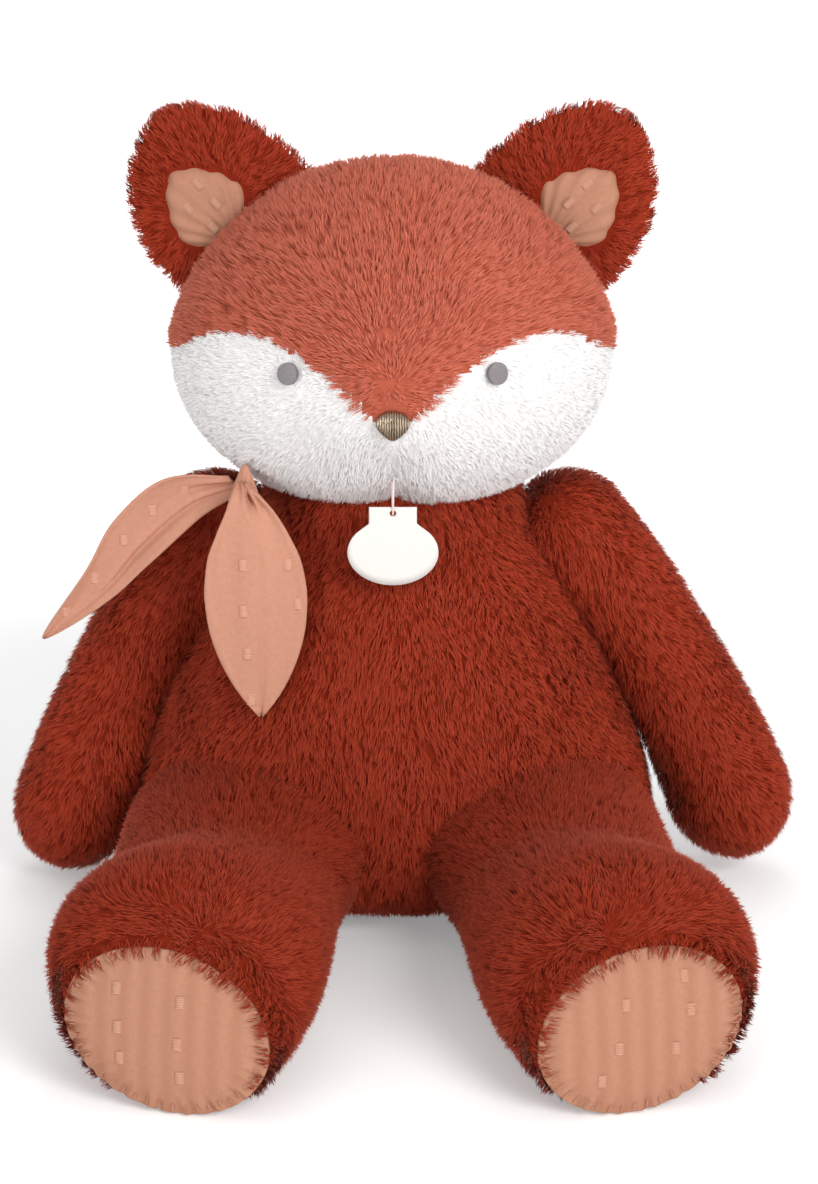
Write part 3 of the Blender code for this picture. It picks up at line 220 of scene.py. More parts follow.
SOLE_GATHER_SHARE = 0.94
SOLE_GATHER_RISE = 0.0011
SOLE_GATHER_SIZE = (0.0038, 0.0003)

# Tail
TAIL_ROOT = (0.0, 0.092, 0.034)
TAIL_REACH = (0.112, 0.098, 0.0)
TAIL_STEPS = ((0.0, 0.0, 0.0), (0.04, 0.42, 0.0), (0.36, 0.84, 0.0), (1.0, 1.0, 0.0))
TAIL_SHARES = (0.0, 0.12, 0.45, 0.7, 0.9, 1.0)
TAIL_RADII = (0.016, 0.016, 0.028, 0.0252, 0.014, 0.0056)
TAIL_LEAST_RADIUS = 0.0015
TAIL_TIP_X = 0.0806

# Scarf
BAND_LATITUDE = math.radians(44.4)
BAND_DISTANCE = 0.0605
BAND_HALF_THICKNESS = 0.0062
BAND_HALF_WIDTH = 0.0162
BAND_PLEATS = 19
KNOT_ANGLE = math.radians(220.0)
KNOT_PLACE = (-0.0655, -0.0545, 0.2010)
KNOT_LENGTH = 0.030
KNOT_BASE_SHARE = 0.42
KNOT_DEPTH_SHARE = 0.62
KNOT_RISE = (0.0, 0.12, 0.4, 0.6, 0.8, 1.0)
KNOT_HALF_WIDTHS = (0.0060, 0.0080, 0.0088, 0.0074, 0.0046, 0.0015)
CLOTH_THICKNESS = 0.0016
FRONT_LEAF_PATH = (
    (-0.0668, -0.0610, 0.2120),
    (-0.0648, -0.0672, 0.2065),
    (-0.0625, -0.0702, 0.1980),
    (-0.0612, -0.0735, 0.1760),
    (-0.0602, -0.0765, 0.1420),
    (-0.0590, -0.0793, 0.1085),
)
FRONT_LEAF_WIDTH_SHARES = (0.0, 0.10, 0.20, 0.33, 0.48, 0.64, 0.77, 0.89, 0.96, 1.0)
FRONT_LEAF_HALF_WIDTHS = (0.0022, 0.0085, 0.0145, 0.0208, 0.0232, 0.0216, 0.0172, 0.0106, 0.0052, 0.0010)
FRONT_LEAF_FLAT = (0.050, 0.116)
SIDE_LEAF_PATH = (
    (-0.0705, -0.0462, 0.2070),
    (-0.0945, -0.0456, 0.2005),
    (-0.1170, -0.0440, 0.1800),
    (-0.1330, -0.0428, 0.1590),
    (-0.1592, -0.0413, 0.1320),
)
SIDE_LEAF_HALF_WIDTH = 0.0124
SIDE_LEAF_ROOT_HALF_WIDTH = 0.0040
SIDE_LEAF_WIDEST_SHARE = 0.36
SIDE_LEAF_SLOPE = math.atan2(0.074, 0.083)
SIDE_LEAF_FLAT = (0.034, 0.125)

# How much the scarf's cloth gathers and waves
BAND_PLEAT_SHARE = 0.10
BAND_MAP_SCALES = (0.04, 0.007)
KNOT_PLEATS = 11
KNOT_PLEAT_SHARE = 0.09
KNOT_PLEAT_TURN = 2.5
LEAF_RIPPLE = 0.0006
LEAF_EDGE_WIDTH = 0.0006
FRONT_LEAF_GATHER = 0.0011
FRONT_LEAF_WAVE = 0.0012
FRONT_LEAF_GROOVE = 0.0009
SIDE_LEAF_CUP = 0.004
SIDE_LEAF_TUCK = 0.0034

# Creases of the scarf's ends: depth, then place and squared width across, and the same along
FRONT_LEAF_CREASES = ((0.0066, 0.14, 0.022, 0.24, 0.012), (0.0024, 0.62, 0.008, 0.26, 0.014))
SIDE_LEAF_CREASES = ((0.0030, 0.1, 0.02, 0.10, 0.02),)

# Puckers of a sole's sewn edge: height, number round it and turn
SOLE_PUCKERS = ((0.0007, 34, 0.0), (0.0004, 53, 1.0))

# Woven bands and tufts: spots are in millimetres across and above the middle, or in x and z
SOLE_TUFTS = {
    "left": ((-20, 17), (7, 14), (-20, 1), (6, -4), (-19, -12), (7, -18)),
    "right": ((-7, 12), (-11, -6), (-18, -19), (20, 8), (14, -8), (18, 22)),
}
LINING_TUFTS = ((-5, 9), (5, 4), (-5, -3), (4, -10))
FRONT_LEAF_TUFTS = ((-67, 178), (-66, 156), (-65, 137), (-63, 117), (-46, 178), (-43, 159))
SIDE_LEAF_TUFTS = ((-93, 204), (-108, 194), (-121, 180), (-134, 162), (-147, 146))
BAND_PITCH = 0.0095
TUFT_SIZE = (0.0046, 0.0044)
TUFT_THREADS = 7
TUFT_THREAD_RADIUS = 0.00048
STITCH_STEPS = 6
STITCH_SIDES = 5

# Hang tag: the card hangs from the chin on a loop
TAG_ANCHOR = (0.0, -0.08125, 0.2190)
TAG_HALF_WIDTH = 0.0200
TAG_HALF_HEIGHT = 0.0150
TAG_TAB_HALF_WIDTH = 0.0105
TAG_TAB_HEIGHT = 0.0060
TAG_THICKNESS = 0.0008
TAG_BOW = 0.0004
TAG_HOLE_RADIUS = 0.0014
TAG_DROP = 0.0150
THREAD_DIAMETER = 0.0008
THREAD_LOOP_WIDTH = 0.0034
THREAD_ENDS_APART = 0.0004
THREAD_CLEARANCE = 0.0003


# Arrays, grids and meshes


def unit(vectors):
    """Vectors divided by their own length."""
    return vectors / np.maximum(np.linalg.norm(vectors, axis=-1, keepdims=True), 1e-12)


def smoothstep(low, high, values):
    """0 below low, 1 above high, and 3t^2 - 2t^3 between them."""
    t = np.clip((values - low) / (high - low), 0, 1)
    return t * t * (3 - 2 * t)


def bell(values):
    """exp(-v^2): 1 in the middle of a crease or bump, and less on both sides."""
    return np.exp(-(values**2))


def circle(count):
    """Angles spread evenly round a full turn."""
    return np.linspace(0, 2 * math.pi, count, endpoint=False)


def spanned(origin, *parts):
    """The origin plus each amount times its direction, for whole grids of amounts."""
    for amount, direction in parts:
        origin = origin + np.asarray(amount)[..., None] * direction
    return origin


def grid_faces(rows, columns, closed):
    """Quads over a grid of points, joined round its columns where it is closed."""
    i = np.arange(rows - 1)[:, None]
    j = np.arange(columns if closed else columns - 1)[None, :]
    k = (j + 1) % columns
    near, far = i * columns, (i + 1) * columns
    return np.stack([near + j, near + k, far + k, far + j], axis=-1).reshape(-1, 4)


def triangles_of(faces):
    """Every face as triangles: a quad gives two, on either side of its diagonal."""
    parts = []
    for block in faces:
        parts.append(block[:, :3])
        if block.shape[1] == 4:
            parts.append(block[:, [0, 2, 3]])
    return np.vstack(parts)


def facing_out(points, faces):
    """Points and faces, turned round where the sum of a . (b x c) over their triangles is negative."""
    a, b, c = (points[triangles_of(faces)[:, k]] for k in range(3))
    if (a * np.cross(b, c)).sum() < 0:
        faces = [block[:, ::-1] for block in faces]
    return points, faces


def closed_form(rings, first, last):
    """Points and faces of a skin over closed rings, with a pole at each end, facing outwards."""
    rows, sides = rings.shape[:2]
    points = np.vstack([rings.reshape(-1, 3), first, last])
    j = np.arange(sides)
    k = (j + 1) % sides
    pole = rows * sides
    start = np.stack([k, j, np.full(sides, pole)], axis=1)
    top = (rows - 1) * sides
    end = np.stack([top + j, top + k, np.full(sides, pole + 1)], axis=1)
    return facing_out(points, [grid_faces(rows, sides, True), np.vstack([start, end])])


def looped_form(rings):
    """Points and faces of a skin over closed rings, of which the last joins the first, facing outwards."""
    rows, sides = rings.shape[:2]
    j = np.arange(sides)
    k = (j + 1) % sides
    last = (rows - 1) * sides
    join = np.stack([last + j, last + k, k, j], axis=1)
    return facing_out(rings.reshape(-1, 3), [np.vstack([grid_faces(rows, sides, True), join])])


def triangle_normals(points, triangles):
    """(b - a) x (c - a) of each triangle, which is twice as long as its area."""
    a, b, c = (points[triangles[:, k]] for k in range(3))
    return np.cross(b - a, c - a)


def vertex_normals(points, triangles):
    """The sum of the normals of the triangles at each point, each as long as its triangle is large."""
    normal = triangle_normals(points, triangles)
    total = np.zeros_like(points)
    for k in range(3):
        np.add.at(total, triangles[:, k], normal)
    return unit(total)


def piece(name, points, faces, finish, uv=None, uv_name="cloth"):
    """A smooth mesh object from arrays. `uv` gives one pair of numbers for each face corner."""
    counts = np.concatenate([np.full(len(block), block.shape[1]) for block in faces])
    corners = np.concatenate([block.ravel() for block in faces])
    mesh = bpy.data.meshes.new(name)
    mesh.vertices.add(len(points))
    mesh.vertices.foreach_set("co", np.asarray(points, np.float32).ravel())
    mesh.loops.add(len(corners))
    mesh.loops.foreach_set("vertex_index", corners.astype(np.int32))
    mesh.polygons.add(len(counts))
    mesh.polygons.foreach_set("loop_start", (np.cumsum(counts) - counts).astype(np.int32))
    if uv is not None:
        layer = mesh.uv_layers.new(name=uv_name)
        layer.data.foreach_set("uv", np.asarray(uv, np.float32).ravel())
    mesh.update(calc_edges=True)
    mesh.shade_smooth()
    mesh.materials.append(finish)
    return linked(name, mesh)


def linked(name, data):
    """A new object for some data, in the scene."""
    obj = bpy.data.objects.new(name, data)
    bpy.context.scene.collection.objects.link(obj)
    return obj


def mapped_piece(name, form, finish, middle, right, up):
    """A piece whose map in metres is each point's distance from the middle along two directions."""
    points, faces = form
    flat = np.stack([(points - middle) @ right, (points - middle) @ up], axis=1)
    return piece(name, points, faces, finish, flat[np.concatenate([block.ravel() for block in faces])])


def settled(obj, body, material_slot, *replaced):
    """Attaches a piece to its body's empty and hides the parts that it replaces. material_slot is not used.
    """
    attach(obj, body)
    if replaced:
        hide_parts(*replaced)
    return obj


def smooth_path(controls, shares):
    """Points at shares of a smooth curve through the controls, by the Catmull-Rom formula."""
    knots = np.array(controls, float)
    padded = np.vstack([2 * knots[0] - knots[1], knots, 2 * knots[-1] - knots[-2]])
    place = np.clip(np.array(shares, float), 0, 1) * (len(knots) - 1)
    span = np.minimum(place.astype(int), len(knots) - 2)
    t = (place - span)[:, None]
    a, b, c, d = (padded[span + i] for i in range(4))
    return 0.5 * (2 * b + (c - a) * t + (2 * a - 5 * b + 4 * c - d) * t**2 + (3 * b - a - 3 * c + d) * t**3)


def distances_along(path):
    """How far along a path each of its points is."""
    return np.concatenate([[0], np.cumsum(np.linalg.norm(np.diff(path, axis=0), axis=1))])


def softened(values, times=3):
    """Values along a line, each averaged with its neighbours, with the ends kept."""
    values = np.array(values, float)
    for _ in range(times):
        values[1:-1] = (values[:-2] + 2 * values[1:-1] + values[2:]) / 4
    return values


def tube_rings(path, widths, heights, sides, sideways, roll=0.0, along=None):
    """Elliptical rings square to a path: centre + w cos(a) right + h sin(a) up, turned by the roll."""
    along = unit(np.gradient(path, axis=0) if along is None else along)
    up = unit(np.cross(np.broadcast_to(sideways, along.shape), along))
    right = np.cross(along, up)
    around = circle(sides)
    flat = widths[:, None] * np.cos(around)
    tall = heights[:, None] * np.sin(around)
    turn = np.broadcast_to(roll, len(path))[:, None]
    across = flat * np.cos(turn) - tall * np.sin(turn)
    above = flat * np.sin(turn) + tall * np.cos(turn)
    return spanned(path[:, None], (across, right[:, None]), (above, up[:, None]))


# The sewn forms


def torso_section(z, inset=0.0):
    """Half width, front and back depth at heights z: a swollen seat, sloping sides and the neck's ball.

    Below the widest line each size is size (1 - t^3)^(1/3). Above it the size falls to the neck's
    as t^slope, and over the shoulders it is the ball's own sqrt(r^2 - z^2).
    """
    z = np.asarray(z, float)
    below = np.clip((TORSO_WIDEST - z) / (TORSO_WIDEST - inset), 0, 1)
    swell = (1 - below**3) ** (1 / 3)
    above = np.clip((z - TORSO_WIDEST) / (SHOULDER_LINE - TORSO_WIDEST), 0, 1)
    ball = NECK_RADIUS - inset
    neck = math.sqrt(ball**2 - (SHOULDER_LINE - NECK_HEIGHT) ** 2)
    dome = np.sqrt(np.maximum(ball**2 - (z - NECK_HEIGHT) ** 2, 0))
    sizes = []
    for widest, slope in zip((TORSO_HALF_WIDTH, TORSO_FRONT, TORSO_BACK), TORSO_SLOPES):
        size = widest - inset
        size = size * swell - (size - neck) * above**slope
        sizes.append(np.where(z > SHOULDER_LINE, dome, size))
    return sizes


def torso_form(inset, sides=120):
    """The stuffed pear: x = a cos t and y = -d sin t at each height, with soft level folds in the chest."""
    seat = inset + (TORSO_WIDEST - inset) * np.linspace(0, 1, 20)[1:] ** 2.2
    side = np.linspace(TORSO_WIDEST, SHOULDER_LINE, 46)[1:]
    ball = NECK_RADIUS - inset
    start = math.asin((SHOULDER_LINE - NECK_HEIGHT) / ball)
    dome = NECK_HEIGHT + ball * np.sin(np.linspace(start, math.pi / 2, 14)[1:-1])
    heights = np.concatenate([seat, side, dome])
    width, front, back = torso_section(heights, inset)
    around = circle(sides)
    depth = np.where(np.sin(around) > 0, front[:, None], back[:, None])
    z = np.repeat(heights[:, None], sides, axis=1)
    x = width[:, None] * np.cos(around)
    y = -depth * np.sin(around)
    fold = chest_folds(x, z) * np.clip(np.sin(around), 0, 1)
    rings = np.stack([x * (1 - fold), y * (1 - fold), z], axis=-1)
    return closed_form(rings, (0, 0, inset), (0, 0, NECK_HEIGHT + ball))


def chest_folds(x, z):
    """How far, as a share, the chest draws in at its creases: two level ones and one dimple."""
    upper = 0.030 * bell(((z - CHEST_FOLD_HEIGHT) - 0.25 * np.abs(x)) / 0.006) * bell(x / 0.05)
    lower = 0.016 * bell(((z - BELLY_FOLD_HEIGHT) - 1.2 * x * x / 0.1) / 0.009)
    across, above = x - CHEST_DIMPLE[0], z - CHEST_DIMPLE[1]
    return upper + lower + 0.018 * np.exp(-((across / 0.020) ** 2) - (above / 0.007) ** 2)


def head_share(z, inset=0.0):
    """Share of the head's full width at heights z: a rounded crown over a squarer jaw."""
    z = np.asarray(z, float)
    top, bottom = HEAD_TOP - inset, HEAD_BOTTOM + inset
    rise = np.clip((z - HEAD_WIDEST) / (top - HEAD_WIDEST), 0, 1)
    fall = np.clip((HEAD_WIDEST - z) / (HEAD_WIDEST - bottom), 0, 1)
    crown = (1 - rise ** CROWN_POWERS[0]) ** CROWN_POWERS[1]
    jaw = (1 - fall ** JAW_POWERS[0]) ** JAW_POWERS[1]
    return np.where(z > HEAD_WIDEST, crown, jaw)


def muzzle(x, z):
    """How far the muzzle's bump comes forward, less the cleft that runs down the chin."""
    bump = MUZZLE_REACH * np.exp(-((x / MUZZLE_WIDTH) ** 2) - ((z - NOSE_HEIGHT) / MUZZLE_HEIGHT) ** 2)
    below = np.clip((NOSE_HEIGHT - z) / (NOSE_HEIGHT - HEAD_BOTTOM), 0, 1)
    cleft = CHIN_CLEFT * bell(x / CHIN_CLEFT_WIDTH) * np.sin(math.pi * below) ** 2
    return bump - cleft


def head_form(inset, sides=140):
    """The stuffed head: ellipses scaled by the head's share at each height, with the muzzle in front."""
    top, bottom = HEAD_TOP - inset, HEAD_BOTTOM + inset
    jaw = HEAD_WIDEST - (HEAD_WIDEST - bottom) * np.sin(np.linspace(math.pi / 2, 0, 36)[1:])
    crown = HEAD_WIDEST + (top - HEAD_WIDEST) * np.sin(np.linspace(0, math.pi / 2, 42)[1:-1])
    z = np.concatenate([jaw, crown])
    share = head_share(z, inset)[:, None]
    around = circle(sides)
    x = (HEAD_HALF_WIDTH - inset) * share * np.cos(around)
    height = np.repeat(z[:, None], sides, axis=1)
    depth = np.where(np.sin(around) > 0, HEAD_FRONT - inset, HEAD_BACK - inset)
    y = HEAD_SETBACK - depth * share * np.sin(around)
    y = y - muzzle(x, height) * np.clip(np.sin(around), 0, 1)
    low = np.clip((HEAD_WIDEST - height) / (HEAD_WIDEST - bottom), 0, 1) ** 4 * (np.sin(around) > 0)
    height = height + CHIN_NOTCH * bell(x / CHIN_NOTCH_WIDTH) * low
    return closed_form(np.stack([x, y, height], axis=-1), (0, HEAD_SETBACK, bottom), (0, HEAD_SETBACK, top))


def face_point(x, z):
    """The point of the sewn head's front at x and z."""
    share = float(head_share(z))
    lean = math.sqrt(max(1 - (x / (HEAD_HALF_WIDTH * share)) ** 2, 0))
    y = HEAD_SETBACK - HEAD_FRONT * share * lean - float(muzzle(x, z)) * lean
    return np.array([x, y, z])


def on_cheek(points):
    """True where a point of the head lies below the cheeks' upper seam and in front of their back one."""
    height = HEAD_TOP - HEAD_BOTTOM
    across = np.abs(points[:, 0]) / HEAD_HALF_WIDTH
    edge = HEAD_BOTTOM + height * np.interp(across, CHEEK_EDGE_ACROSS, CHEEK_EDGE_UP)
    return (points[:, 2] < edge) & (points[:, 1] < 0)


def ear_frame(sign):
    """Middle of an ear's base, and its directions along the base, to the tip and forward."""
    turn = math.pi / 2 - EAR_TILT
    height = HEAD_WIDEST + EAR_ALONG
    width = HEAD_HALF_WIDTH * float(head_share(height))
    base = np.array([sign * (width - EAR_SINK), HEAD_SETBACK + EAR_SETBACK, height])
    along = np.array([-sign * math.sin(turn), 0, math.cos(turn)])
    tip = np.array([sign * math.cos(turn), 0, math.sin(turn)])
    return base, along, tip, np.array([0.0, -1.0, 0.0])


def ear_form(sign, inset, sides=64, rows=34):
    """A leaf: half width (1 - t^a)^b at share t of its length, a lens across, thinner at the tip."""
    base, along, tip, front = ear_frame(sign)
    around = circle(sides)
    length = EAR_LENGTH - inset
    rise = length * np.sin(np.linspace(0, math.pi / 2, rows)[:-1])
    q = np.concatenate([[-EAR_ROOT, -EAR_ROOT / 2], rise])
    share = np.clip(q / length, 0, 1)
    half = (EAR_HALF_WIDTH - inset) * (1 - share ** EAR_POWERS[0]) ** EAR_POWERS[1]
    thick = EAR_THICKNESS / 2 * (1 - EAR_TAPER * share) - inset * (1 - 0.4 * share)
    spread = (EAR_SKEW * share**3)[:, None] + half[:, None] * np.cos(around)
    rings = spanned(base, (q[:, None], tip), (spread, along), (thick[:, None] * np.sin(around), front))
    return closed_form(rings, base - EAR_ROOT * tip, base + length * tip + EAR_SKEW * along)


def arm_line(side, s):
    """The arm's middle line at distances s from the shoulder: an arc, drawn forward at the hand."""
    sign = SIDES[side]
    start = np.array(SHOULDER) * (sign, 1, 1)
    first = ARM_SPLAYS[side] + ARM_BEND
    curl = 2 * ARM_BEND / ARM_LENGTH
    along = np.maximum(s, 0)
    angle = first - curl * along
    x = (np.cos(angle) - math.cos(first)) / curl + np.minimum(s, 0) * math.sin(first)
    z = -(math.sin(first) - np.sin(angle)) / curl - np.minimum(s, 0) * math.cos(first)
    y = -HAND_ADVANCE * (along / ARM_LENGTH) ** 2
    return start + np.stack([sign * x, y, z], axis=1)


def arm_radius(s, inset):
    """The arm's radius at distances s: a round root, a slim middle and a full, round hand."""
    root = ARM_ROOT_RADIUS - inset
    length = ARM_LENGTH - inset
    radii = (ARM_ROOT_RADIUS, ARM_RADIUS, HAND_RADIUS, HAND_RADIUS)
    waist = np.interp(s / ARM_LENGTH, (0, 0.4, 0.8, 1), radii)
    ends = np.where(s < 0, np.sqrt(np.maximum(1 - (s / root) ** 2, 0)), 1)
    over = np.clip((s - (length - HAND_RADIUS)) / HAND_RADIUS, 0, 1)
    return (softened(waist, 12) - inset) * ends * np.sqrt(np.maximum(1 - over**2, 0))


def arm_form(side, inset, sides=56):
    """A round arm along its arc: rings of the arm's radius, with round ends."""
    root = ARM_ROOT_RADIUS - inset
    length = ARM_LENGTH - inset
    cap = np.sin(np.linspace(0, math.pi / 2, 14))
    behind = -root * cap[::-1][1:-1]
    ahead = np.linspace(0, length - HAND_RADIUS, 44)
    hand = length - HAND_RADIUS * (1 - cap[1:-1])
    s = np.concatenate([behind, ahead, hand])
    radius = arm_radius(s, inset)
    rings = tube_rings(arm_line(side, s), radius, radius, sides, (0, 1, 0))
    sign = SIDES[side]
    first = ARM_SPLAYS[side] + ARM_BEND
    start = np.array(SHOULDER) * (sign, 1, 1) - root * np.array([sign * math.sin(first), 0, -math.cos(first)])
    return closed_form(rings, start, arm_line(side, np.array([length]))[0])


def foot_axes(side):
    """Middle of a foot's front, and the directions that it faces, to its right and up."""
    sign = SIDES[side]
    level = math.cos(FOOT_TILT)
    out, ahead = math.sin(FOOT_TOE_OUT), math.cos(FOOT_TOE_OUT)
    facing = np.array([sign * out * level, -ahead * level, math.sin(FOOT_TILT)])
    right = np.cross(facing, (0, 0, 1)) / level
    end = np.array(HIP) * (sign, 1, 1) + np.array([sign * LEG_SPREADS[side], -LEG_REACH, 0])
    end[2] = LEG_HALF_HEIGHTS[-1] - SEAT_CUT
    return end, facing, right, np.cross(right, facing)


def leg_form(side, inset, sides=72):
    """A leg of elliptical sections from its round root to a swollen foot, whose blunt front tilts up."""
    sign = SIDES[side]
    start = np.array(HIP) * (sign, 1, 1)
    end, facing, _, _ = foot_axes(side)
    shares = np.linspace(0, 1, 64)
    path = start + shares[:, None] * (end - facing * inset - start)
    width = softened(np.interp(shares, LEG_SHARES, LEG_HALF_WIDTHS), 10) - inset
    height = softened(np.interp(shares, LEG_SHARES, LEG_HALF_HEIGHTS), 10) - inset
    path[:-1, 2] = height[:-1] + inset - SEAT_CUT
    path[:, 2] = softened(path[:, 2], 6)
    root = HIP_RADIUS - inset
    back = np.linspace(math.pi / 2, 0, 12)[1:-1]
    none = np.zeros(len(back))
    behind = start + np.outer(root * np.sin(back), (0, 1, 0))
    turn = np.clip(2 * shares - 1, 0, 1)[:, None]
    along = np.vstack([np.tile((0, -1.0, 0), (len(back), 1)), (0, -1, 0) + turn * (facing + (0, 1, 0))])
    widths = np.concatenate([(HIP_HALF_WIDTH - inset) * np.cos(back), width])
    heights = np.concatenate([root * np.cos(back), height])
    roll = np.concatenate([none, sign * FOOT_ROLL * turn[:, 0]])
    rings = tube_rings(np.vstack([behind, path]), widths, heights, sides, (-1, 0, 0), -roll, along)
    around = circle(sides)
    across = widths[:, None] * np.cos(around) / FOOT_CREASE_WIDTH
    share = np.concatenate([none, shares])[:, None]
    rings[..., 2] -= FOOT_CREASE * bell(across) * (np.sin(around) > 0) * smoothstep(0.76, 0.88, share)
    middle = path[-1]
    shrink = np.array(FOOT_FRONT_SHARES)[:, None, None]
    swell = np.array(FOOT_FRONT_SWELLS)[:, None, None]
    front = middle + shrink * (rings[-1] - middle) + swell * facing
    pole = middle + FOOT_FRONT_SWELLS[-1] * facing
    return closed_form(np.concatenate([rings, front]), start + np.array([0, root, 0]), pole)


def tail_line(shares):
    """The tail's middle line: out of the back, down to the floor and round to one side."""
    start = np.array(TAIL_ROOT)
    path = smooth_path(start + np.array(TAIL_STEPS) * TAIL_REACH, shares)
    rest = TAIL_RADII[2] - SEAT_CUT
    path[:, 2] = np.interp(shares, (0, 0.45, 1), (start[2], rest, rest))
    return path


def tail_form(inset, sides=44, rows=60):
    """A brush that swells from a narrow root and tapers to its tip."""
    shares = np.linspace(0, 1, rows)
    path = tail_line(shares)
    radius = softened(np.interp(shares, TAIL_SHARES, TAIL_RADII), 8) - inset
    root = TAIL_RADII[0] - inset
    back = np.linspace(math.pi / 2, 0, 8)[1:-1]
    behind = np.array(TAIL_ROOT) - np.outer(root * np.sin(back), (0, 1, 0))
    path = np.vstack([behind, path])
    radius = np.concatenate([root * np.cos(back), np.maximum(radius, TAIL_LEAST_RADIUS)])
    rings = tube_rings(path, radius, radius, sides, (0, 0, 1))
    tip = path[-1] + (path[-1] - path[-2]) * 0.4
    return closed_form(rings, np.array(TAIL_ROOT) - (0, root, 0), tip)


# Where one form is inside another


def inside_arms(points, margin):
    """True inside either arm: nearer to its middle line than its radius less a margin."""
    inside = np.zeros(len(points), bool)
    for side in SIDES:
        s = np.linspace(-ARM_ROOT_RADIUS * 0.6, ARM_LENGTH - HAND_RADIUS, 24)
        line, radius = arm_line(side, s), arm_radius(s, margin)
        away = np.linalg.norm(points[:, None] - line[None], axis=2)
        inside |= (away < radius).any(axis=1)
    return inside


def inside_legs(points, margin):
    """True inside either leg, by its ellipse at the point's distance to the front."""
    inside = np.zeros(len(points), bool)
    for side, sign in SIDES.items():
        start = np.array(HIP) * (sign, 1, 1)
        share = (start[1] - points[:, 1]) / LEG_REACH
        width = np.interp(share, LEG_SHARES, LEG_HALF_WIDTHS) - margin
        height = np.interp(share, LEG_SHARES, LEG_HALF_HEIGHTS)
        behind = np.clip(-share * LEG_REACH / HIP_RADIUS, 0, 1)
        shrink = np.sqrt(1 - behind**2) + 1e-6
        x = points[:, 0] - start[0] - sign * LEG_SPREADS[side] * np.clip(share, 0, 1)
        z = points[:, 2] - height
        oval = (x / (width * shrink)) ** 2 + (z / ((height - margin) * shrink)) ** 2
        inside |= (oval < 1) & (share < 1) & (behind < 1)
    return inside


def inside_torso(points, margin):
    """True inside the torso's ellipse at the point's height."""
    width, front, back = torso_section(points[:, 2], margin)
    depth = np.where(points[:, 1] < 0, front, back)
    across, ahead = points[:, 0] / np.maximum(width, 1e-6), points[:, 1] / np.maximum(depth, 1e-6)
    return across**2 + ahead**2 < 1


# Fur


def scattered(points, triangles, normals, count, rng):
    """Places spread evenly over a surface: triangles are drawn by area, then a place in each."""
    area = np.linalg.norm(triangle_normals(points, triangles), axis=1)
    pick = triangles[rng.choice(len(triangles), count, p=area / area.sum())]
    r, s = np.sqrt(rng.random(count)), rng.random(count)
    share = np.stack([1 - r, r * (1 - s), r * s], axis=1)[:, :, None]
    return (points[pick] * share).sum(axis=1), unit((normals[pick] * share).sum(axis=1))


def swirl(points, scale):
    """A smooth angle over space, from -1 to 1: the mean of three crossed sine waves."""
    x, y, z = (points / scale).T
    first, second = np.sin(x + 1.7 * np.sin(y * 0.8)), np.sin(y * 1.3 + 2.1 * np.sin(z * 0.7))
    return (first + second + np.sin(z + x * 0.9)) / 3


def tufts_on(form, coat, lie, keep, length, seed):
    """Roots, tips, normals, ways and tones of the hairs of a coat, drawn together into tufts.

    A tuft's hairs stand round its middle, and their tips lean the way that the pile lies and
    close in on the tuft's own tip. `lie` gives that way at a place, `length` a share of the pile's
    length there, and `keep` says where hair grows.
    """
    rng = np.random.default_rng(seed)
    points, faces = form
    triangles = triangles_of(faces)
    area = np.linalg.norm(triangle_normals(points, triangles), axis=1).sum() / 2
    per = coat.hairs_per_tuft
    count = int(area * coat.density * 1e6 / per)
    middle, normal = scattered(points, triangles, vertex_normals(points, triangles), count, rng)
    grows = keep(middle) & (middle[:, 2] > PRESSED_HEIGHT)
    middle, normal = middle[grows], normal[grows]
    way = lie(middle)
    way = unit(way - (way * normal).sum(axis=1, keepdims=True) * normal)
    side = np.cross(normal, way)
    turn = SWIRL_TURN * swirl(middle, SWIRL_SCALES[0])[:, None] + rng.normal(0, TURN_SPREAD, (len(middle), 1))
    way = unit(np.cos(turn) * way + np.sin(turn) * side)
    middle, normal, way = (np.repeat(v, per, axis=0) for v in (middle, normal, way))
    side = np.cross(normal, way)
    total = len(middle)
    reach = coat.tuft_radius * np.sqrt(rng.random((total, 1)))
    around = rng.random((total, 1)) * 2 * math.pi
    offset = reach * (np.cos(around) * way + np.sin(around) * side)
    long = coat.length * length(middle)[:, None] * rng.uniform(*LENGTH_SHARES, (total, 1))
    rise = coat.rise + rng.normal(0, RISE_SPREAD, (total, 1))
    rise = rise + SWIRL_RISE * swirl(middle, SWIRL_SCALES[1])[:, None]
    stray = rng.normal(0, STRAY_SPREAD, (total, 3))
    root = middle + offset - normal * ROOT_DEPTH
    heading = unit(np.cos(rise) * way + np.sin(rise) * normal + stray)
    tip = middle + offset * (1 - coat.gather) + heading * long
    tone = np.repeat(rng.normal(0, 0.5, total // per), per) + rng.normal(0, 1, total)
    return root, tip, normal, way, np.clip(0.5 + 0.16 * tone, 0.03, 0.97), rng


def full_length(places):
    """The pile's whole length everywhere."""
    return np.ones(len(places))


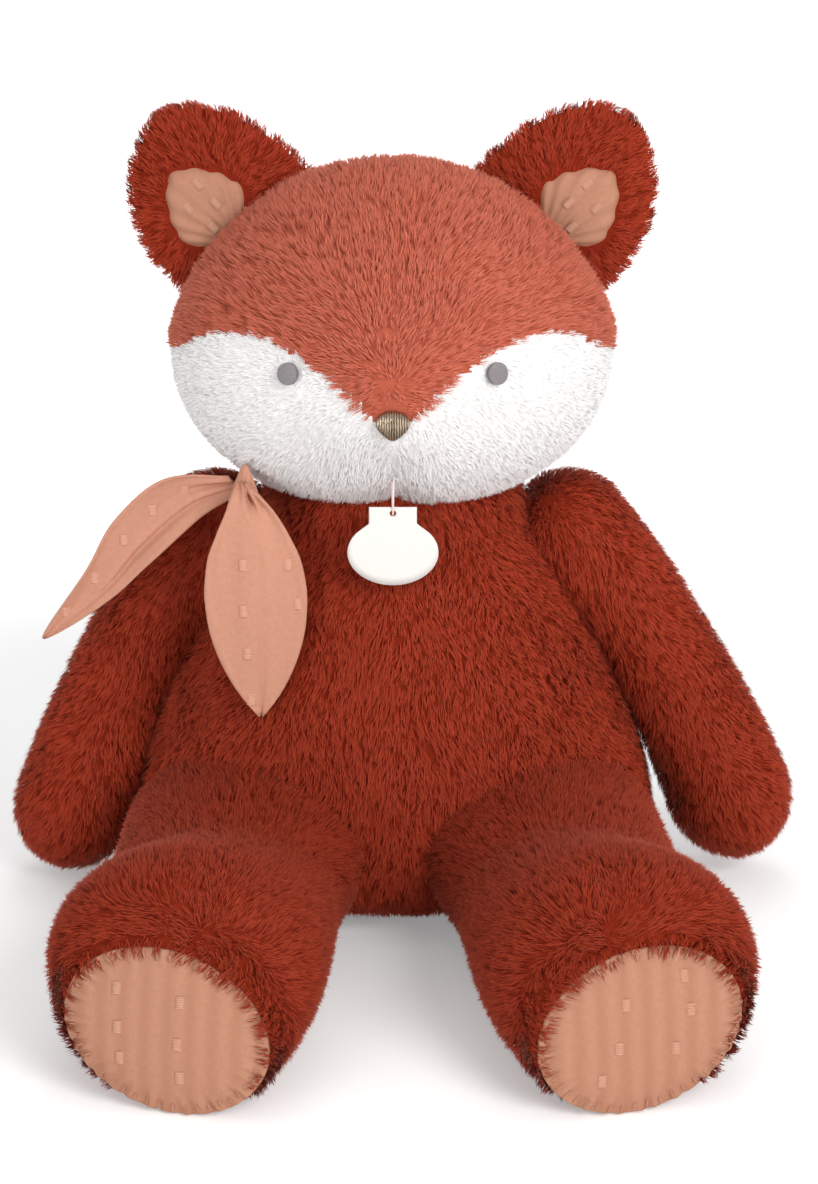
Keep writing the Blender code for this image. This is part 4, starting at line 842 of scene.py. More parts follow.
def grow_fur(name, form, coat, finish, body, material_slot, lie, keep, length=full_length, seed=1):
    """Hairs as tapered blades of two steps, bent over from root to tip, in pieces of even count."""
    root, tip, normal, way, tone, rng = tufts_on(form, coat, lie, keep, length, seed)
    long = np.linalg.norm(tip - root, axis=1, keepdims=True)
    middle = (root + tip) / 2 + normal * long * HAIR_BEND[0] - way * long * HAIR_BEND[1]
    heading = unit(tip - root)
    flat = unit(np.cross(heading, normal))
    twist = rng.uniform(-1.0, 1.0, (len(root), 1))
    flat = np.cos(twist) * flat + np.sin(twist) * np.cross(heading, flat)
    half = coat.width / 2 * rng.uniform(*WIDTH_SHARES, (len(root), 1))
    base, waist = flat * half, flat * half * 0.9
    points = np.stack([root - base, root + base, middle - waist, middle + waist, tip], axis=1)
    points[..., 2] = np.maximum(points[..., 2], FLOOR_CLEARANCE)
    face = unit(np.cross(flat, heading))
    face *= np.where((face * normal).sum(axis=1, keepdims=True) < 0, -1, 1)
    shade = unit(normal * HAIR_SHADE[0] + face * HAIR_SHADE[1])
    order = np.argsort(np.arctan2(root[:, 0], -root[:, 1]), kind="stable")
    parts = max(1, math.ceil(len(root) / HAIRS_PER_PIECE))
    for number, chosen in enumerate(np.array_split(order, parts), 1):
        label = f"{name}_{number}" if parts > 1 else name
        settled(blades(label, points[chosen], tone[chosen], shade[chosen], finish), body, material_slot)


def blades(name, points, tone, shade, finish):
    """One mesh of blades: a quad from root to middle, a triangle on to the tip, and a map (tone, share)."""
    count = len(points)
    first = np.arange(count)[:, None] * 5
    quads = first + np.array([0, 1, 3, 2])
    tips = first + np.array([2, 3, 4])
    along = np.concatenate([np.tile([0.03, 0.03, 0.5, 0.5], count), np.tile([0.5, 0.5, 0.97], count)])
    across = np.concatenate([np.repeat(tone, 4), np.repeat(tone, 3)])
    hair_map = np.stack([across, along], axis=1)
    obj = piece(name, points.reshape(-1, 3), [quads, tips], finish, hair_map, "OFBake")
    obj.data.normals_split_custom_set_from_vertices(np.repeat(shade, 5, axis=0))
    return obj


def backing(name, form, body, replaced, finish):
    """The knitted skin that the hair stands on, as one stuffed piece."""
    obj = settled(piece(name, *form, finish), body, "rust_fur", *replaced)
    return obj


def whiten(skin, shows_white, coat):
    """Gives a backing its white cloth on the faces whose middles `shows_white` picks."""
    skin.data.materials.append(white_backing(coat))
    middles = np.zeros(3 * len(skin.data.polygons))
    skin.data.polygons.foreach_get("center", middles)
    skin.data.polygons.foreach_set("material_index", shows_white(middles.reshape(-1, 3)).astype(np.int32))


# Node trees


def feed(tree, socket, value):
    """Links another node's output to a socket, or sets the socket to a value."""
    if isinstance(value, bpy.types.NodeSocket):
        tree.links.new(value, socket)
    elif value is not None:
        socket.default_value = value


def shader_node(tree, kind, group=None, **sockets):
    """A node with some of its inputs set to values or linked from other nodes' outputs."""
    made = tree.nodes.new(kind)
    if group is not None:
        made.node_tree = group
    for key, value in sockets.items():
        feed(tree, made.inputs[key], value)
    return made


def calculate(tree, operation, a, b=0.0, c=None):
    """The output of a Math node."""
    made = tree.nodes.new("ShaderNodeMath")
    made.operation = operation
    for socket, value in zip(made.inputs, (a, b, c)):
        feed(tree, socket, value)
    return made.outputs[0]


def blended(tree, share, first, second, blend="MIX"):
    """The colour output of a Mix node."""
    made = tree.nodes.new("ShaderNodeMix")
    made.data_type = "RGBA"
    made.blend_type = blend
    for index, value in ((0, share), (6, first), (7, second)):
        feed(tree, made.inputs[index], value)
    return made.outputs[2]


def new_group(name, inputs, outputs):
    """A shader node group with named sockets, each given as (name, kind, default)."""
    group = bpy.data.node_groups.new(name, "ShaderNodeTree")
    for label, kind, default in inputs:
        socket = group.interface.new_socket(label, socket_type=f"NodeSocket{kind}", in_out="INPUT")
        if default is not None:
            socket.default_value = default
    for label, kind in outputs:
        group.interface.new_socket(label, socket_type=f"NodeSocket{kind}", in_out="OUTPUT")
    given, out = group.nodes.new("NodeGroupInput"), group.nodes.new("NodeGroupOutput")
    return group, given.outputs, out.inputs


def hair_tone_group():
    """Colour along a hair: deep at the root, fuller in the middle and paler at the tip, by its own tone. The
    deep root is partly the hair's own colour and partly painted shade among the hairs, and the pale tip is
    partly painted light.
    """
    if "hair_tone" in bpy.data.node_groups:
        return bpy.data.node_groups["hair_tone"]
    colours = [(label, "Color", None) for label in ("Deep", "Full", "Pale")]
    sockets = [("Map", "Vector", None), *colours, ("Spread", "Float", 0.3)]
    tree, given, out = new_group("hair_tone", sockets, [("Colour", "Color")])
    calc = partial(calculate, tree)
    parts = shader_node(tree, "ShaderNodeSeparateXYZ", Vector=given["Map"])
    low = calc("MULTIPLY", parts.outputs[1], 2.0)
    high = calc("MAXIMUM", calc("SUBTRACT", low, 1.0), 0.0)
    colour = blended(tree, calc("MINIMUM", low, 1.0), given["Deep"], given["Full"])
    colour = blended(tree, high, colour, given["Pale"])
    lift = calc("MULTIPLY_ADD", calc("SUBTRACT", parts.outputs[0], 0.5), given["Spread"], 1.0)
    grey = shader_node(tree, "ShaderNodeCombineXYZ", X=lift, Y=lift, Z=lift)
    feed(tree, out["Colour"], blended(tree, 1.0, colour, grey.outputs[0], "MULTIPLY"))
    return tree


def weave_group():
    """Plain weave on a map in metres: |sin| ridges of warp and weft that pass over each other by turns, with
    painted shade between the threads.
    """
    if "gauze_weave" in bpy.data.node_groups:
        return bpy.data.node_groups["gauze_weave"]
    sockets = [
        ("Map", "Vector", None),
        ("Thread", "Float", 0.0007),
        ("Cloth", "Color", None),
        ("Shade", "Color", None),
        ("Crinkle", "Float", 0.5),
        ("Band", "Float", 0.2),
    ]
    tree, given, out = new_group("gauze_weave", sockets, [("Colour", "Color"), ("Height", "Float")])
    calc = partial(calculate, tree)

    def noise(scale, detail):
        made = shader_node(tree, "ShaderNodeTexNoise", Vector=given["Map"], Scale=scale, Detail=detail)
        return made.outputs[0]

    parts = shader_node(tree, "ShaderNodeSeparateXYZ", Vector=given["Map"])
    places = [calc("DIVIDE", parts.outputs[axis], given["Thread"]) for axis in (0, 1)]
    ridges = [calc("ABSOLUTE", calc("SINE", calc("MULTIPLY", place, math.pi))) for place in places]
    over = calc("PINGPONG", calc("ADD", *[calc("FLOOR", place) for place in places]), 1.0)
    warp = calc("MULTIPLY", ridges[0], calc("MULTIPLY_ADD", over, 0.6, 0.4))
    weft = calc("MULTIPLY", ridges[1], calc("MULTIPLY_ADD", over, -0.6, 1.0))
    thread = calc("MAXIMUM", warp, weft)
    crinkle = calc("MULTIPLY", noise(150.0, 2.0), given["Crinkle"])
    # The mix leans to the Shade colour at random in a fine mottle and, as painted shade, between the threads.
    shade = calc("MULTIPLY_ADD", noise(420.0, 3.0), 0.7, calc("MULTIPLY", thread, 0.4))
    turn = calc("MULTIPLY_ADD", parts.outputs[0], 2 * math.pi / BAND_PITCH, noise(60.0, 2.0))
    band = calc("MULTIPLY", calc("MULTIPLY_ADD", calc("SINE", turn), 0.5, 0.5), given["Band"])
    shade = calc("MULTIPLY", shade, calc("SUBTRACT", 1.0, band))
    feed(tree, out["Colour"], blended(tree, shade, given["Shade"], given["Cloth"]))
    feed(tree, out["Height"], calc("MULTIPLY_ADD", thread, 0.35, crinkle))
    return tree


def fresh_material(name, roughness, metallic=0.0, sheen=0.0, tint=(1, 1, 1), specular=0.3):
    """A Principled material whose even values stand on the shader's own sockets."""
    made = bpy.data.materials.new(name)
    made.use_nodes = True
    shader = made.node_tree.nodes["Principled BSDF"]
    values = {
        "Roughness": roughness,
        "Metallic": metallic,
        "Sheen Weight": sheen,
        "Sheen Roughness": 0.45,
        "Sheen Tint": opaque(tint),
        "Specular IOR Level": specular,
    }
    for key, value in values.items():
        shader.inputs[key].default_value = value
    return made, made.node_tree, shader


def opaque(colour):
    return (*colour[:3], 1.0)


# A colour scaled by a share: the dark end of grain and mottle, and the painted shade of the legs' hair, the
# backing and the stitch grooves.
def darkened(colour, share):
    return tuple(share * value for value in colour[:3])


def own_map(tree, name):
    """The piece's own map of this name."""
    made = tree.nodes.new("ShaderNodeUVMap")
    made.uv_map = name
    return made.outputs[0]


def own_place(tree):
    """The place on the object."""
    return tree.nodes.new("ShaderNodeTexCoord").outputs["Object"]


def relief(tree, shader, height, strength, distance):
    """Small relief from a height."""
    bump = shader_node(tree, "ShaderNodeBump", Strength=strength, Distance=distance, Height=height)
    feed(tree, shader.inputs["Normal"], bump.outputs[0])


def hair_material(name, deep, full, pale, spread, sheen, tint):
    """Hair coloured from its own map by the hair tone group."""
    made, tree, shader = fresh_material(name, 0.7, sheen=sheen, tint=tint, specular=0.15)
    colours = {"Deep": opaque(deep), "Full": opaque(full), "Pale": opaque(pale)}
    place = own_map(tree, "OFBake")
    tone = shader_node(tree, "ShaderNodeGroup", hair_tone_group(), Map=place, Spread=spread, **colours)
    feed(tree, shader.inputs["Base Color"], tone.outputs["Colour"])
    return made


def backing_material(name, colour):
    """The knitted backing under the hair: mottled, with a fine loop relief."""
    made, tree, shader = fresh_material(name, 0.95, specular=0.1)
    place = own_place(tree)
    mottle = shader_node(tree, "ShaderNodeTexNoise", Vector=place, Scale=300.0, Detail=4.0)
    loops = shader_node(tree, "ShaderNodeTexVoronoi", Vector=place, Scale=900.0)
    colour = blended(tree, mottle.outputs[0], opaque(darkened(colour, 0.7)), opaque(colour))
    feed(tree, shader.inputs["Base Color"], colour)
    relief(tree, shader, loops.outputs[0], 0.4, 0.0004)
    return made


def gauze_material(name, cloth, shade, thread, crinkle, band):
    """Woven gauze on the piece's own map in metres."""
    made, tree, shader = fresh_material(name, 0.9, sheen=0.04, tint=cloth, specular=0.15)
    colours = {"Cloth": opaque(cloth), "Shade": opaque(shade)}
    look = {"Map": own_map(tree, "cloth"), "Thread": thread, "Crinkle": crinkle, "Band": band}
    weave = shader_node(tree, "ShaderNodeGroup", weave_group(), **look, **colours)
    feed(tree, shader.inputs["Base Color"], weave.outputs["Colour"])
    relief(tree, shader, weave.outputs["Height"], 0.5, 0.0006)
    return made


def stitched_material(name, thread, groove_shade_share, roughness, metallic, pitch, axis):
    """Satin stitch: parallel threads side by side, with painted shade in the grooves between them."""
    made, tree, shader = fresh_material(name, roughness, metallic=metallic, specular=0.5)
    calc = partial(calculate, tree)
    place = own_place(tree)
    parts = shader_node(tree, "ShaderNodeSeparateXYZ", Vector=place)
    waver = shader_node(tree, "ShaderNodeTexNoise", Vector=place, Scale=700.0, Detail=2.0)
    phase = calc("MULTIPLY_ADD", parts.outputs[axis], 1.0 / pitch, calc("MULTIPLY", waver.outputs[0], 0.8))
    ridge = calc("ABSOLUTE", calc("SINE", calc("MULTIPLY", phase, math.pi)))
    # Painted shade: the thread's colour is darkened in the grooves between the threads.
    colour = blended(tree, ridge, opaque(darkened(thread, groove_shade_share)), opaque(thread))
    feed(tree, shader.inputs["Base Color"], colour)
    relief(tree, shader, ridge, 0.8, 0.0004)
    return made


def speckled_material(name, colour, dark, roughness, scale, relief_depth):
    """An even finish with a fine grain, for card, thread and stuffing."""
    made, tree, shader = fresh_material(name, roughness)
    grain = shader_node(tree, "ShaderNodeTexNoise", Vector=own_place(tree), Scale=scale, Detail=5.0)
    feed(tree, shader.inputs["Base Color"], blended(tree, grain.outputs[0], opaque(dark), opaque(colour)))
    relief(tree, shader, grain.outputs[0], 0.3, relief_depth)
    return made


def once(name, maker, *values):
    """The material of this name, made the first time that it is asked for."""
    return bpy.data.materials.get(name) or maker(name, *values)


def rust_hair(coat):
    return once("rust_hair", hair_material, coat.deep, coat.full, coat.pale, 0.30, 0.20, coat.sheen)


def leg_hair(coat):
    """The legs' hair, in colours a fifth darker than the body's: painted shade for the pile that lies towards
    the viewer and looks deeper.
    """
    tones = [darkened(tone, 0.80) for tone in (coat.deep, coat.full, coat.pale)]
    return once("leg_hair", hair_material, *tones, 0.30, 0.16, coat.sheen)


def face_hair(coat):
    # The head's coat is lighter and pinker than the body's: partly the cap's own colour, and partly painted
    # light for the sheen on the top of the head.
    tones = (coat.face_deep, coat.face_full, coat.face_pale)
    return once("face_hair", hair_material, *tones, 0.26, 0.32, coat.sheen)


def white_hair(coat):
    tones = (coat.white_deep, coat.white_full, coat.white_full)
    return once("white_hair", hair_material, *tones, 0.03, 0.60, (1, 1, 1))


def rust_backing(coat):
    # Painted shade: the backing is painted at 0.68 of the hair's full colour, dark like the shaded pile where
    # it shows beside the arms.
    return once("rust_backing", backing_material, darkened(coat.full, 0.68))


def face_backing(coat):
    return once("face_backing", backing_material, darkened(coat.face_full, 0.9))


def white_backing(coat):
    return once("white_backing", backing_material, coat.white_deep)


def tuft_thread(name, colour):
    pale = tuple(min(0.95, 1.1 * c + 0.02) for c in colour)
    return once(f"{name}_tuft_thread", speckled_material, pale, darkened(pale, 0.8), 0.8, 1500.0, 0.0002)


def peach_gauze(cloth):
    return once("scarf_weave", gauze_material, cloth.scarf, cloth.scarf_shade, cloth.thread, 0.8, 0.12)


def lining_gauze(cloth):
    return once("lining_weave", gauze_material, cloth.sole, cloth.sole_shade, cloth.thread, 0.8, 0.12)


def sole_gauze(cloth):
    return once("sole_weave", gauze_material, cloth.sole, cloth.sole_shade, cloth.thread * 0.8, 0.35, 0.55)


# Settings


def colour_property(name, description, default):
    return bpy.props.FloatVectorProperty(
        name=name, description=description, default=default, size=3, min=0.0, max=1.0, subtype="COLOR"
    )


def length_property(name, description, default):
    kinds = {"unit": "LENGTH", "subtype": "DISTANCE", "precision": 5}
    return bpy.props.FloatProperty(name=name, description=description, default=default, min=0.0, **kinds)


def angle_property(name, description, degrees):
    kinds = {"unit": "ROTATION", "subtype": "ANGLE"}
    return bpy.props.FloatProperty(name=name, description=description, default=math.radians(degrees), **kinds)


class FoxCoat(bpy.types.PropertyGroup):
    """The pile of the fur: sizes of its hairs and tufts, and colours from root to tip."""

    length: length_property("Hair length", "Length of a hair of the short pile", 0.0060)
    width: length_property("Hair width", "Width of a hair at its root", 0.00037)
    tuft_radius: length_property("Tuft radius", "Radius of the roots of one tuft", 0.0019)
    density: bpy.props.FloatProperty(
        name="Hairs per square millimetre", description="How closely the hairs stand", default=1.55, min=0.05
    )
    hairs_per_tuft: bpy.props.IntProperty(
        name="Hairs per tuft", description="How many hairs draw together", default=6, min=1
    )
    gather: bpy.props.FloatProperty(
        name="Gather",
        description="How far the tips of a tuft close in",
        default=0.34,
        min=0.0,
        max=1.0,
        subtype="FACTOR",
    )
    rise: angle_property("Rise", "Angle of the hairs above the cloth", 36)
    # From root to tip: the deep root is partly painted shade among the hairs, and the pale tip is partly
    # painted light.
    deep: colour_property("Deep rust", "Root of the body's hair", (0.275, 0.020, 0.005))
    full: colour_property("Full rust", "Middle of the body's hair", (0.365, 0.033, 0.010))
    pale: colour_property("Pale rust", "Tip of the body's hair", (0.485, 0.064, 0.025))
    # The face colours are a lighter, pinker copy of the rust: partly the cap's own colour, and partly painted
    # light for the sheen on the top of the head.
    face_deep: colour_property("Deep face rust", "Root of the head's hair", (0.47, 0.094, 0.050))
    face_full: colour_property("Full face rust", "Middle of the head's hair", (0.56, 0.128, 0.075))
    face_pale: colour_property("Pale face rust", "Tip of the head's hair", (0.69, 0.20, 0.128))
    white_deep: colour_property("White root", "Root of the cheeks' hair", (0.97, 0.955, 0.95))
    white_full: colour_property("White tip", "Tip of the cheeks' hair", (0.985, 0.975, 0.97))
    sheen: colour_property("Sheen", "Colour of the pile's soft sheen", (1.0, 0.55, 0.42))


class FoxCloth(bpy.types.PropertyGroup):
    """The woven gauze of scarf, soles and ear linings, the stitching, and the tag's card and thread."""

    # Each shade colour is the gauze as it looks in shade: painted shade between the threads, and the dark end
    # of the random mottle.
    scarf: colour_property("Scarf", "Scarf gauze", (0.63, 0.32, 0.225))
    scarf_shade: colour_property("Scarf shade", "Scarf gauze between its threads", (0.48, 0.215, 0.14))
    sole: colour_property("Sole", "Sole gauze", (0.52, 0.262, 0.172))
    sole_shade: colour_property("Sole shade", "Sole gauze between its threads", (0.385, 0.176, 0.108))
    eye: colour_property("Eye thread", "Thread of the eyes", (0.34, 0.31, 0.325))
    nose: colour_property("Nose thread", "Metallic thread of the nose", (0.42, 0.33, 0.24))
    card: colour_property("Card", "Card of the hang tag", (0.80, 0.775, 0.74))
    tag_thread: colour_property("Tag thread", "Thread of the hang tag", (0.86, 0.74, 0.71))
    thread: length_property("Thread spacing", "Distance between the gauze's threads", 0.0007)


class FoxStage(bpy.types.PropertyGroup):
    """The photograph's camera and the floor."""

    distance: length_property("Camera distance", "From the camera to the point that it looks at", 1.6)
    elevation: angle_property("Camera elevation", "Angle of the view down onto the fox", 17)
    pixels: bpy.props.FloatProperty(
        name="Focal pixels", description="Focal length in pixels of the frame", default=3478.0
    )
    floor: colour_property("Floor", "Colour of the floor", (0.92, 0.92, 0.92))


# Stage


def aimed(obj, place, target):
    """Puts an object at a place with its -Z axis on a target."""
    obj.location = place
    obj.rotation_euler = (Vector(target) - Vector(place)).to_track_quat("-Z", "Y").to_euler()


def make_camera(stage):
    """The camera looks at the point of the target's depth that stands in the middle of the frame."""
    level, rise = math.cos(stage.elevation), math.sin(stage.elevation)
    place = np.array(VIEW_TARGET) + stage.distance * np.array([0, -level, rise])
    across = (FRAME_WIDTH / 2 - TARGET_PIXEL[0]) / stage.pixels * stage.distance
    down = (FRAME_HEIGHT / 2 - TARGET_PIXEL[1]) / stage.pixels * stage.distance
    target = np.array(VIEW_TARGET) + across * np.array([1, 0, 0]) - down * np.array([0, rise, level])
    data = bpy.data.cameras.new("photo_camera")
    data.sensor_fit = "HORIZONTAL"
    data.sensor_width = SENSOR
    data.lens = stage.pixels / FRAME_WIDTH * SENSOR
    camera = linked("photo_camera", data)
    aimed(camera, place, target)
    bpy.context.scene.camera = camera


def make_lamp(name, place, target_height, size, power, colour):
    data = bpy.data.lights.new(name, "AREA")
    data.shape = "DISK"
    data.size = size
    data.energy = power
    data.color = colour
    aimed(linked(name, data), place, (0, 0, target_height))


def seen_directly(tree):
    """1 where the camera, a mirror or glass sees the surface, and 0 where it lights other things."""
    path = tree.nodes.new("ShaderNodeLightPath").outputs
    seen = calculate(tree, "MAXIMUM", path["Is Camera Ray"], path["Is Glossy Ray"])
    return calculate(tree, "MAXIMUM", seen, path["Is Transmission Ray"])


def make_world():
    """White to the camera, and of the plain strength to everything that it lights."""
    world = bpy.data.worlds.new("studio")
    world.use_nodes = True
    bpy.context.scene.world = world
    tree = world.node_tree
    sky = tree.nodes["Background"]
    sky.inputs["Color"].default_value = (1, 1, 1, 1)
    power = calculate(tree, "MULTIPLY_ADD", seen_directly(tree), 1.0 - WORLD_STRENGTH, WORLD_STRENGTH)
    feed(tree, sky.inputs["Strength"], power)


def make_floor(stage):
    """A pale floor that the camera sees brighter with its distance from the fox, with the shadow kept."""
    half = FLOOR_HALF_SIZE
    points = np.array([(-half, -half, 0), (half, -half, 0), (half, half, 0), (-half, half, 0)])
    made, tree, shader = fresh_material("studio_floor", 0.9, specular=0.1)
    place = own_place(tree)
    grain = shader_node(tree, "ShaderNodeTexNoise", Vector=place, Scale=60.0, Detail=2.0)
    floor = opaque(stage.floor)
    colour = blended(tree, grain.outputs[0], floor, opaque([min(1, c * 1.01) for c in floor]))
    feed(tree, shader.inputs["Base Color"], colour)
    shader.inputs["Emission Color"].default_value = (1, 1, 1, 1)
    distance = tree.nodes.new("ShaderNodeVectorMath")
    distance.operation = "LENGTH"
    feed(tree, distance.inputs[0], place)
    far = tree.nodes.new("ShaderNodeMapRange")
    far.interpolation_type = "SMOOTHSTEP"
    for socket, value in zip(far.inputs, (distance.outputs["Value"], *FLOOR_LIFT_DISTANCES, *FLOOR_LIFTS)):
        feed(tree, socket, value)
    lift = calculate(tree, "MULTIPLY", seen_directly(tree), far.outputs["Result"])
    feed(tree, shader.inputs["Emission Strength"], lift)
    piece("studio_floor", points, [np.array([[0, 1, 2, 3]])], made)


class MakeStage(bpy.types.Operator):
    """Makes the camera, the soft lamps, the world and the floor"""

    bl_idname = "plush_fox.stage"
    bl_label = "Stage"

    def execute(self, context):
        stage = context.scene.fox_stage
        context.scene.view_settings.view_transform = "Standard"
        make_camera(stage)
        make_world()
        for lamp in LAMPS:
            make_lamp(*lamp)
        make_floor(stage)
        return {"FINISHED"}


# Torso and head


def toward(vector):
    """A pile that lies one way everywhere."""
    return lambda places: np.broadcast_to(np.array(vector, float), places.shape)


class MakeTorso(bpy.types.Operator):
    """Makes the torso's skin and its coat, which lies downwards"""

    bl_idname = "plush_fox.torso"
    bl_label = "Torso"

    def execute(self, context):
        coat = context.scene.fox_coat
        form = torso_form(BACKING_INSET)
        backing("torso_backing", form, "torso", ["torso_skin"], rust_backing(coat))

        def keep(places):
            inner = inside_arms(places, CLEAR_OF_LIMBS) | inside_legs(places, CLEAR_OF_LIMBS)
            return (places[:, 2] < TORSO_FUR_TOP) & ~inner

        down = toward((0, 0, -1))
        grow_fur("torso_fur", form, coat, rust_hair(coat), "torso", "rust_fur", down, keep, seed=11)
        return {"FINISHED"}


def face_spots():
    """Middles and radii of the eyes and the nose, where the pile is short and parted."""
    spots = [(face_point(sign * EYE_SPACING / 2, EYE_HEIGHT), EYE_DIAMETER / 2) for sign in SIDES.values()]
    return spots + [(face_point(0, NOSE_HEIGHT), NOSE_WIDTH / 2)]


def head_lie(places):
    """The pile lies away from a place above the nose, and parts along the chin and round eyes and nose."""
    way = unit(places - face_point(0, NOSE_HEIGHT) + (0, 0, -PILE_CROWN_RISE))
    chin = bell(places[:, 0] / CHIN_PARTING_WIDTH) * (places[:, 2] < NOSE_HEIGHT) * (places[:, 1] < 0)
    way[:, 0] += 0.9 * chin * np.sign(places[:, 0])
    for middle, radius in face_spots():
        away = places - middle
        far = np.linalg.norm(away, axis=1, keepdims=True)
        near = 1 - smoothstep(radius, radius + SPOT_PARTING_REACH, far)
        way = unit(way + 1.6 * unit(away) * near)
    return way


def head_hair_share(places):
    """Share of the full hair length: short along the middle seam and beside the eyes and the nose."""
    share = np.ones(len(places))
    seam = bell(places[:, 0] / SEAM_PARTING_WIDTH) * (places[:, 1] < 0)
    share -= seam * np.where(places[:, 2] < NOSE_HEIGHT, 0.65, 0.25)
    for middle, radius in face_spots():
        far = np.linalg.norm(places - middle, axis=1)
        share *= 0.55 + 0.45 * smoothstep(radius, radius + SPOT_SHORT_REACH, far)
    return share


def bare_of_spots(places):
    """True outside the eyes and the nose."""
    clear = np.ones(len(places), bool)
    for middle, radius in face_spots():
        flat = places - middle
        clear &= np.hypot(flat[:, 0], flat[:, 2]) > radius * 0.93
        clear |= places[:, 1] > 0
    return clear


class MakeHead(bpy.types.Operator):
    """Makes the head's skin, the rust cap's coat and the cheeks' white coat"""

    bl_idname = "plush_fox.head"
    bl_label = "Head"

    def execute(self, context):
        coat = context.scene.fox_coat
        form = head_form(BACKING_INSET)
        skins = ["head_cap", "cheek_left", "cheek_right"]
        whiten(backing("head_backing", form, "head", skins, face_backing(coat)), on_cheek, coat)

        def covered(places):
            low, reach = NECK_OPENING
            hidden = (places[:, 2] < low) & (np.hypot(places[:, 0], places[:, 1]) < reach)
            return ~hidden & bare_of_spots(places)

        def cheek_share(places):
            return CHEEK_PILE_SHARE * head_hair_share(places)

        def on_cap(places):
            return covered(places) & ~on_cheek(places)

        def on_cheeks(places):
            return covered(places) & on_cheek(places)

        coats = (
            ("cap_fur", face_hair(coat), "rust_fur", on_cap, head_hair_share, 21),
            ("cheek_fur", white_hair(coat), "white_fur", on_cheeks, cheek_share, 22),
        )
        for name, finish, material_slot, keep, share, seed in coats:
            grow_fur(name, form, coat, finish, "head", material_slot, head_lie, keep, share, seed)
        return {"FINISHED"}


# Face


def domed_disc(middle, normal, outline, rise, rows=14, sides=72):
    """A shallow closed dome: rings r of an outline, lifted by rise sqrt(1 - r^2), with a flat back."""
    normal = unit(np.array(normal, float))
    right = unit(np.cross((0, 0, 1), normal))
    up = np.cross(normal, right)
    flat = spanned(0, *zip(outline(circle(sides)), (right, up)))
    share = np.sin(np.linspace(math.pi / 2, 0, rows + 1)[:-1])
    lift = rise * np.sqrt(np.maximum(1 - share**2, 0))
    front = middle + share[:, None, None] * flat + lift[:, None, None] * normal
    back = middle + np.array([0.6, 1.0])[:, None, None] * flat - STITCHING_DEPTH * normal
    rings = np.concatenate([back, front])
    return closed_form(rings, middle - STITCHING_DEPTH * normal, middle + rise * normal)


def surface_normal(x, z):
    """The direction square to the face at x and z, from two small steps along it."""
    step = 0.001
    across = face_point(x + step, z) - face_point(x - step, z)
    up = face_point(x, z + step) - face_point(x, z - step)
    return unit(np.cross(across, up))


def eye_outline(around):
    """An oval a little taller than wide."""
    return EYE_DIAMETER / 2 * np.cos(around), EYE_DIAMETER / 2 * 1.04 * np.sin(around)


def nose_outline(around):
    """A rounded triangle with a flat top and its point below."""
    pinch = 1 - 0.42 * np.clip(-np.sin(around), 0, 1) ** 1.5
    tall = np.sin(around) * np.where(np.sin(around) > 0, 0.85, 1.15)
    return NOSE_WIDTH / 2 * np.cos(around) * pinch, NOSE_DEPTH / 2 * tall


class MakeFace(bpy.types.Operator):
    """Makes the embroidered eyes and the satin-stitched nose"""

    bl_idname = "plush_fox.face"
    bl_label = "Eyes and nose"

    def execute(self, context):
        cloth = context.scene.fox_cloth
        grey = once("eye_stitching", stitched_material, cloth.eye, 0.55, 0.55, 0.0, 0.0005, 2)
        for side, sign in SIDES.items():
            x = sign * EYE_SPACING / 2
            normal = surface_normal(x, EYE_HEIGHT)
            middle = face_point(x, EYE_HEIGHT) + normal * EYE_STAND
            form = domed_disc(middle, normal, eye_outline, EYE_BULGE)
            settled(piece(f"eye_stitching_{side}", *form, grey), "head", "grey_stitching", f"eye_{side}")
        self.make_nose(cloth)
        return {"FINISHED"}

    def make_nose(self, cloth):
        """The nose's dome with ridges of thread that run from its flat top to its point."""
        middle = face_point(0, NOSE_HEIGHT) + np.array([0, NOSE_SINK, 0])
        points, faces = domed_disc(middle, (0, -1, 0), nose_outline, NOSE_BULGE, 26, 120)
        waver = NOSE_THREAD_WAVER[0] * np.sin(points[:, 2] * NOSE_THREAD_WAVER[1])
        ridge = np.cos(points[:, 0] / NOSE_THREAD_PITCH * 2 * math.pi + waver)
        points[:, 1] -= NOSE_THREAD_RELIEF * ridge * (points[:, 1] < middle[1] - NOSE_FLAT_BACK)
        satin = once("nose_satin", stitched_material, cloth.nose, 0.3, 0.32, 0.85, NOSE_THREAD_PITCH, 0)
        settled(piece("nose_stitching", points, faces, satin), "head", "satin_stitching", "nose")


# Cloth leaves and stitches


def cloth_shell(name, front, back, spread, finish):
    """A leaf of doubled cloth: two grids of points joined by a wall round their rim.

    `spread` gives each grid point's place on the map, in metres.
    """
    rows, columns = front.shape[:2]
    points = np.vstack([front.reshape(-1, 3), back.reshape(-1, 3)])
    near = grid_faces(rows, columns, False)
    far = near[:, ::-1] + rows * columns
    index = np.arange(rows * columns).reshape(rows, columns)
    rim = np.concatenate([index[0, :-1], index[:-1, -1], index[-1, :0:-1], index[:0:-1, 0]])
    after = np.roll(rim, -1)
    side = np.stack([rim, rim + rows * columns, after + rows * columns, after], axis=1)
    points, faces = facing_out(points, [np.vstack([near, far, side])])
    place = np.vstack([spread.reshape(-1, 2)] * 2)
    return piece(name, points, faces, finish, place[faces[0].ravel()])


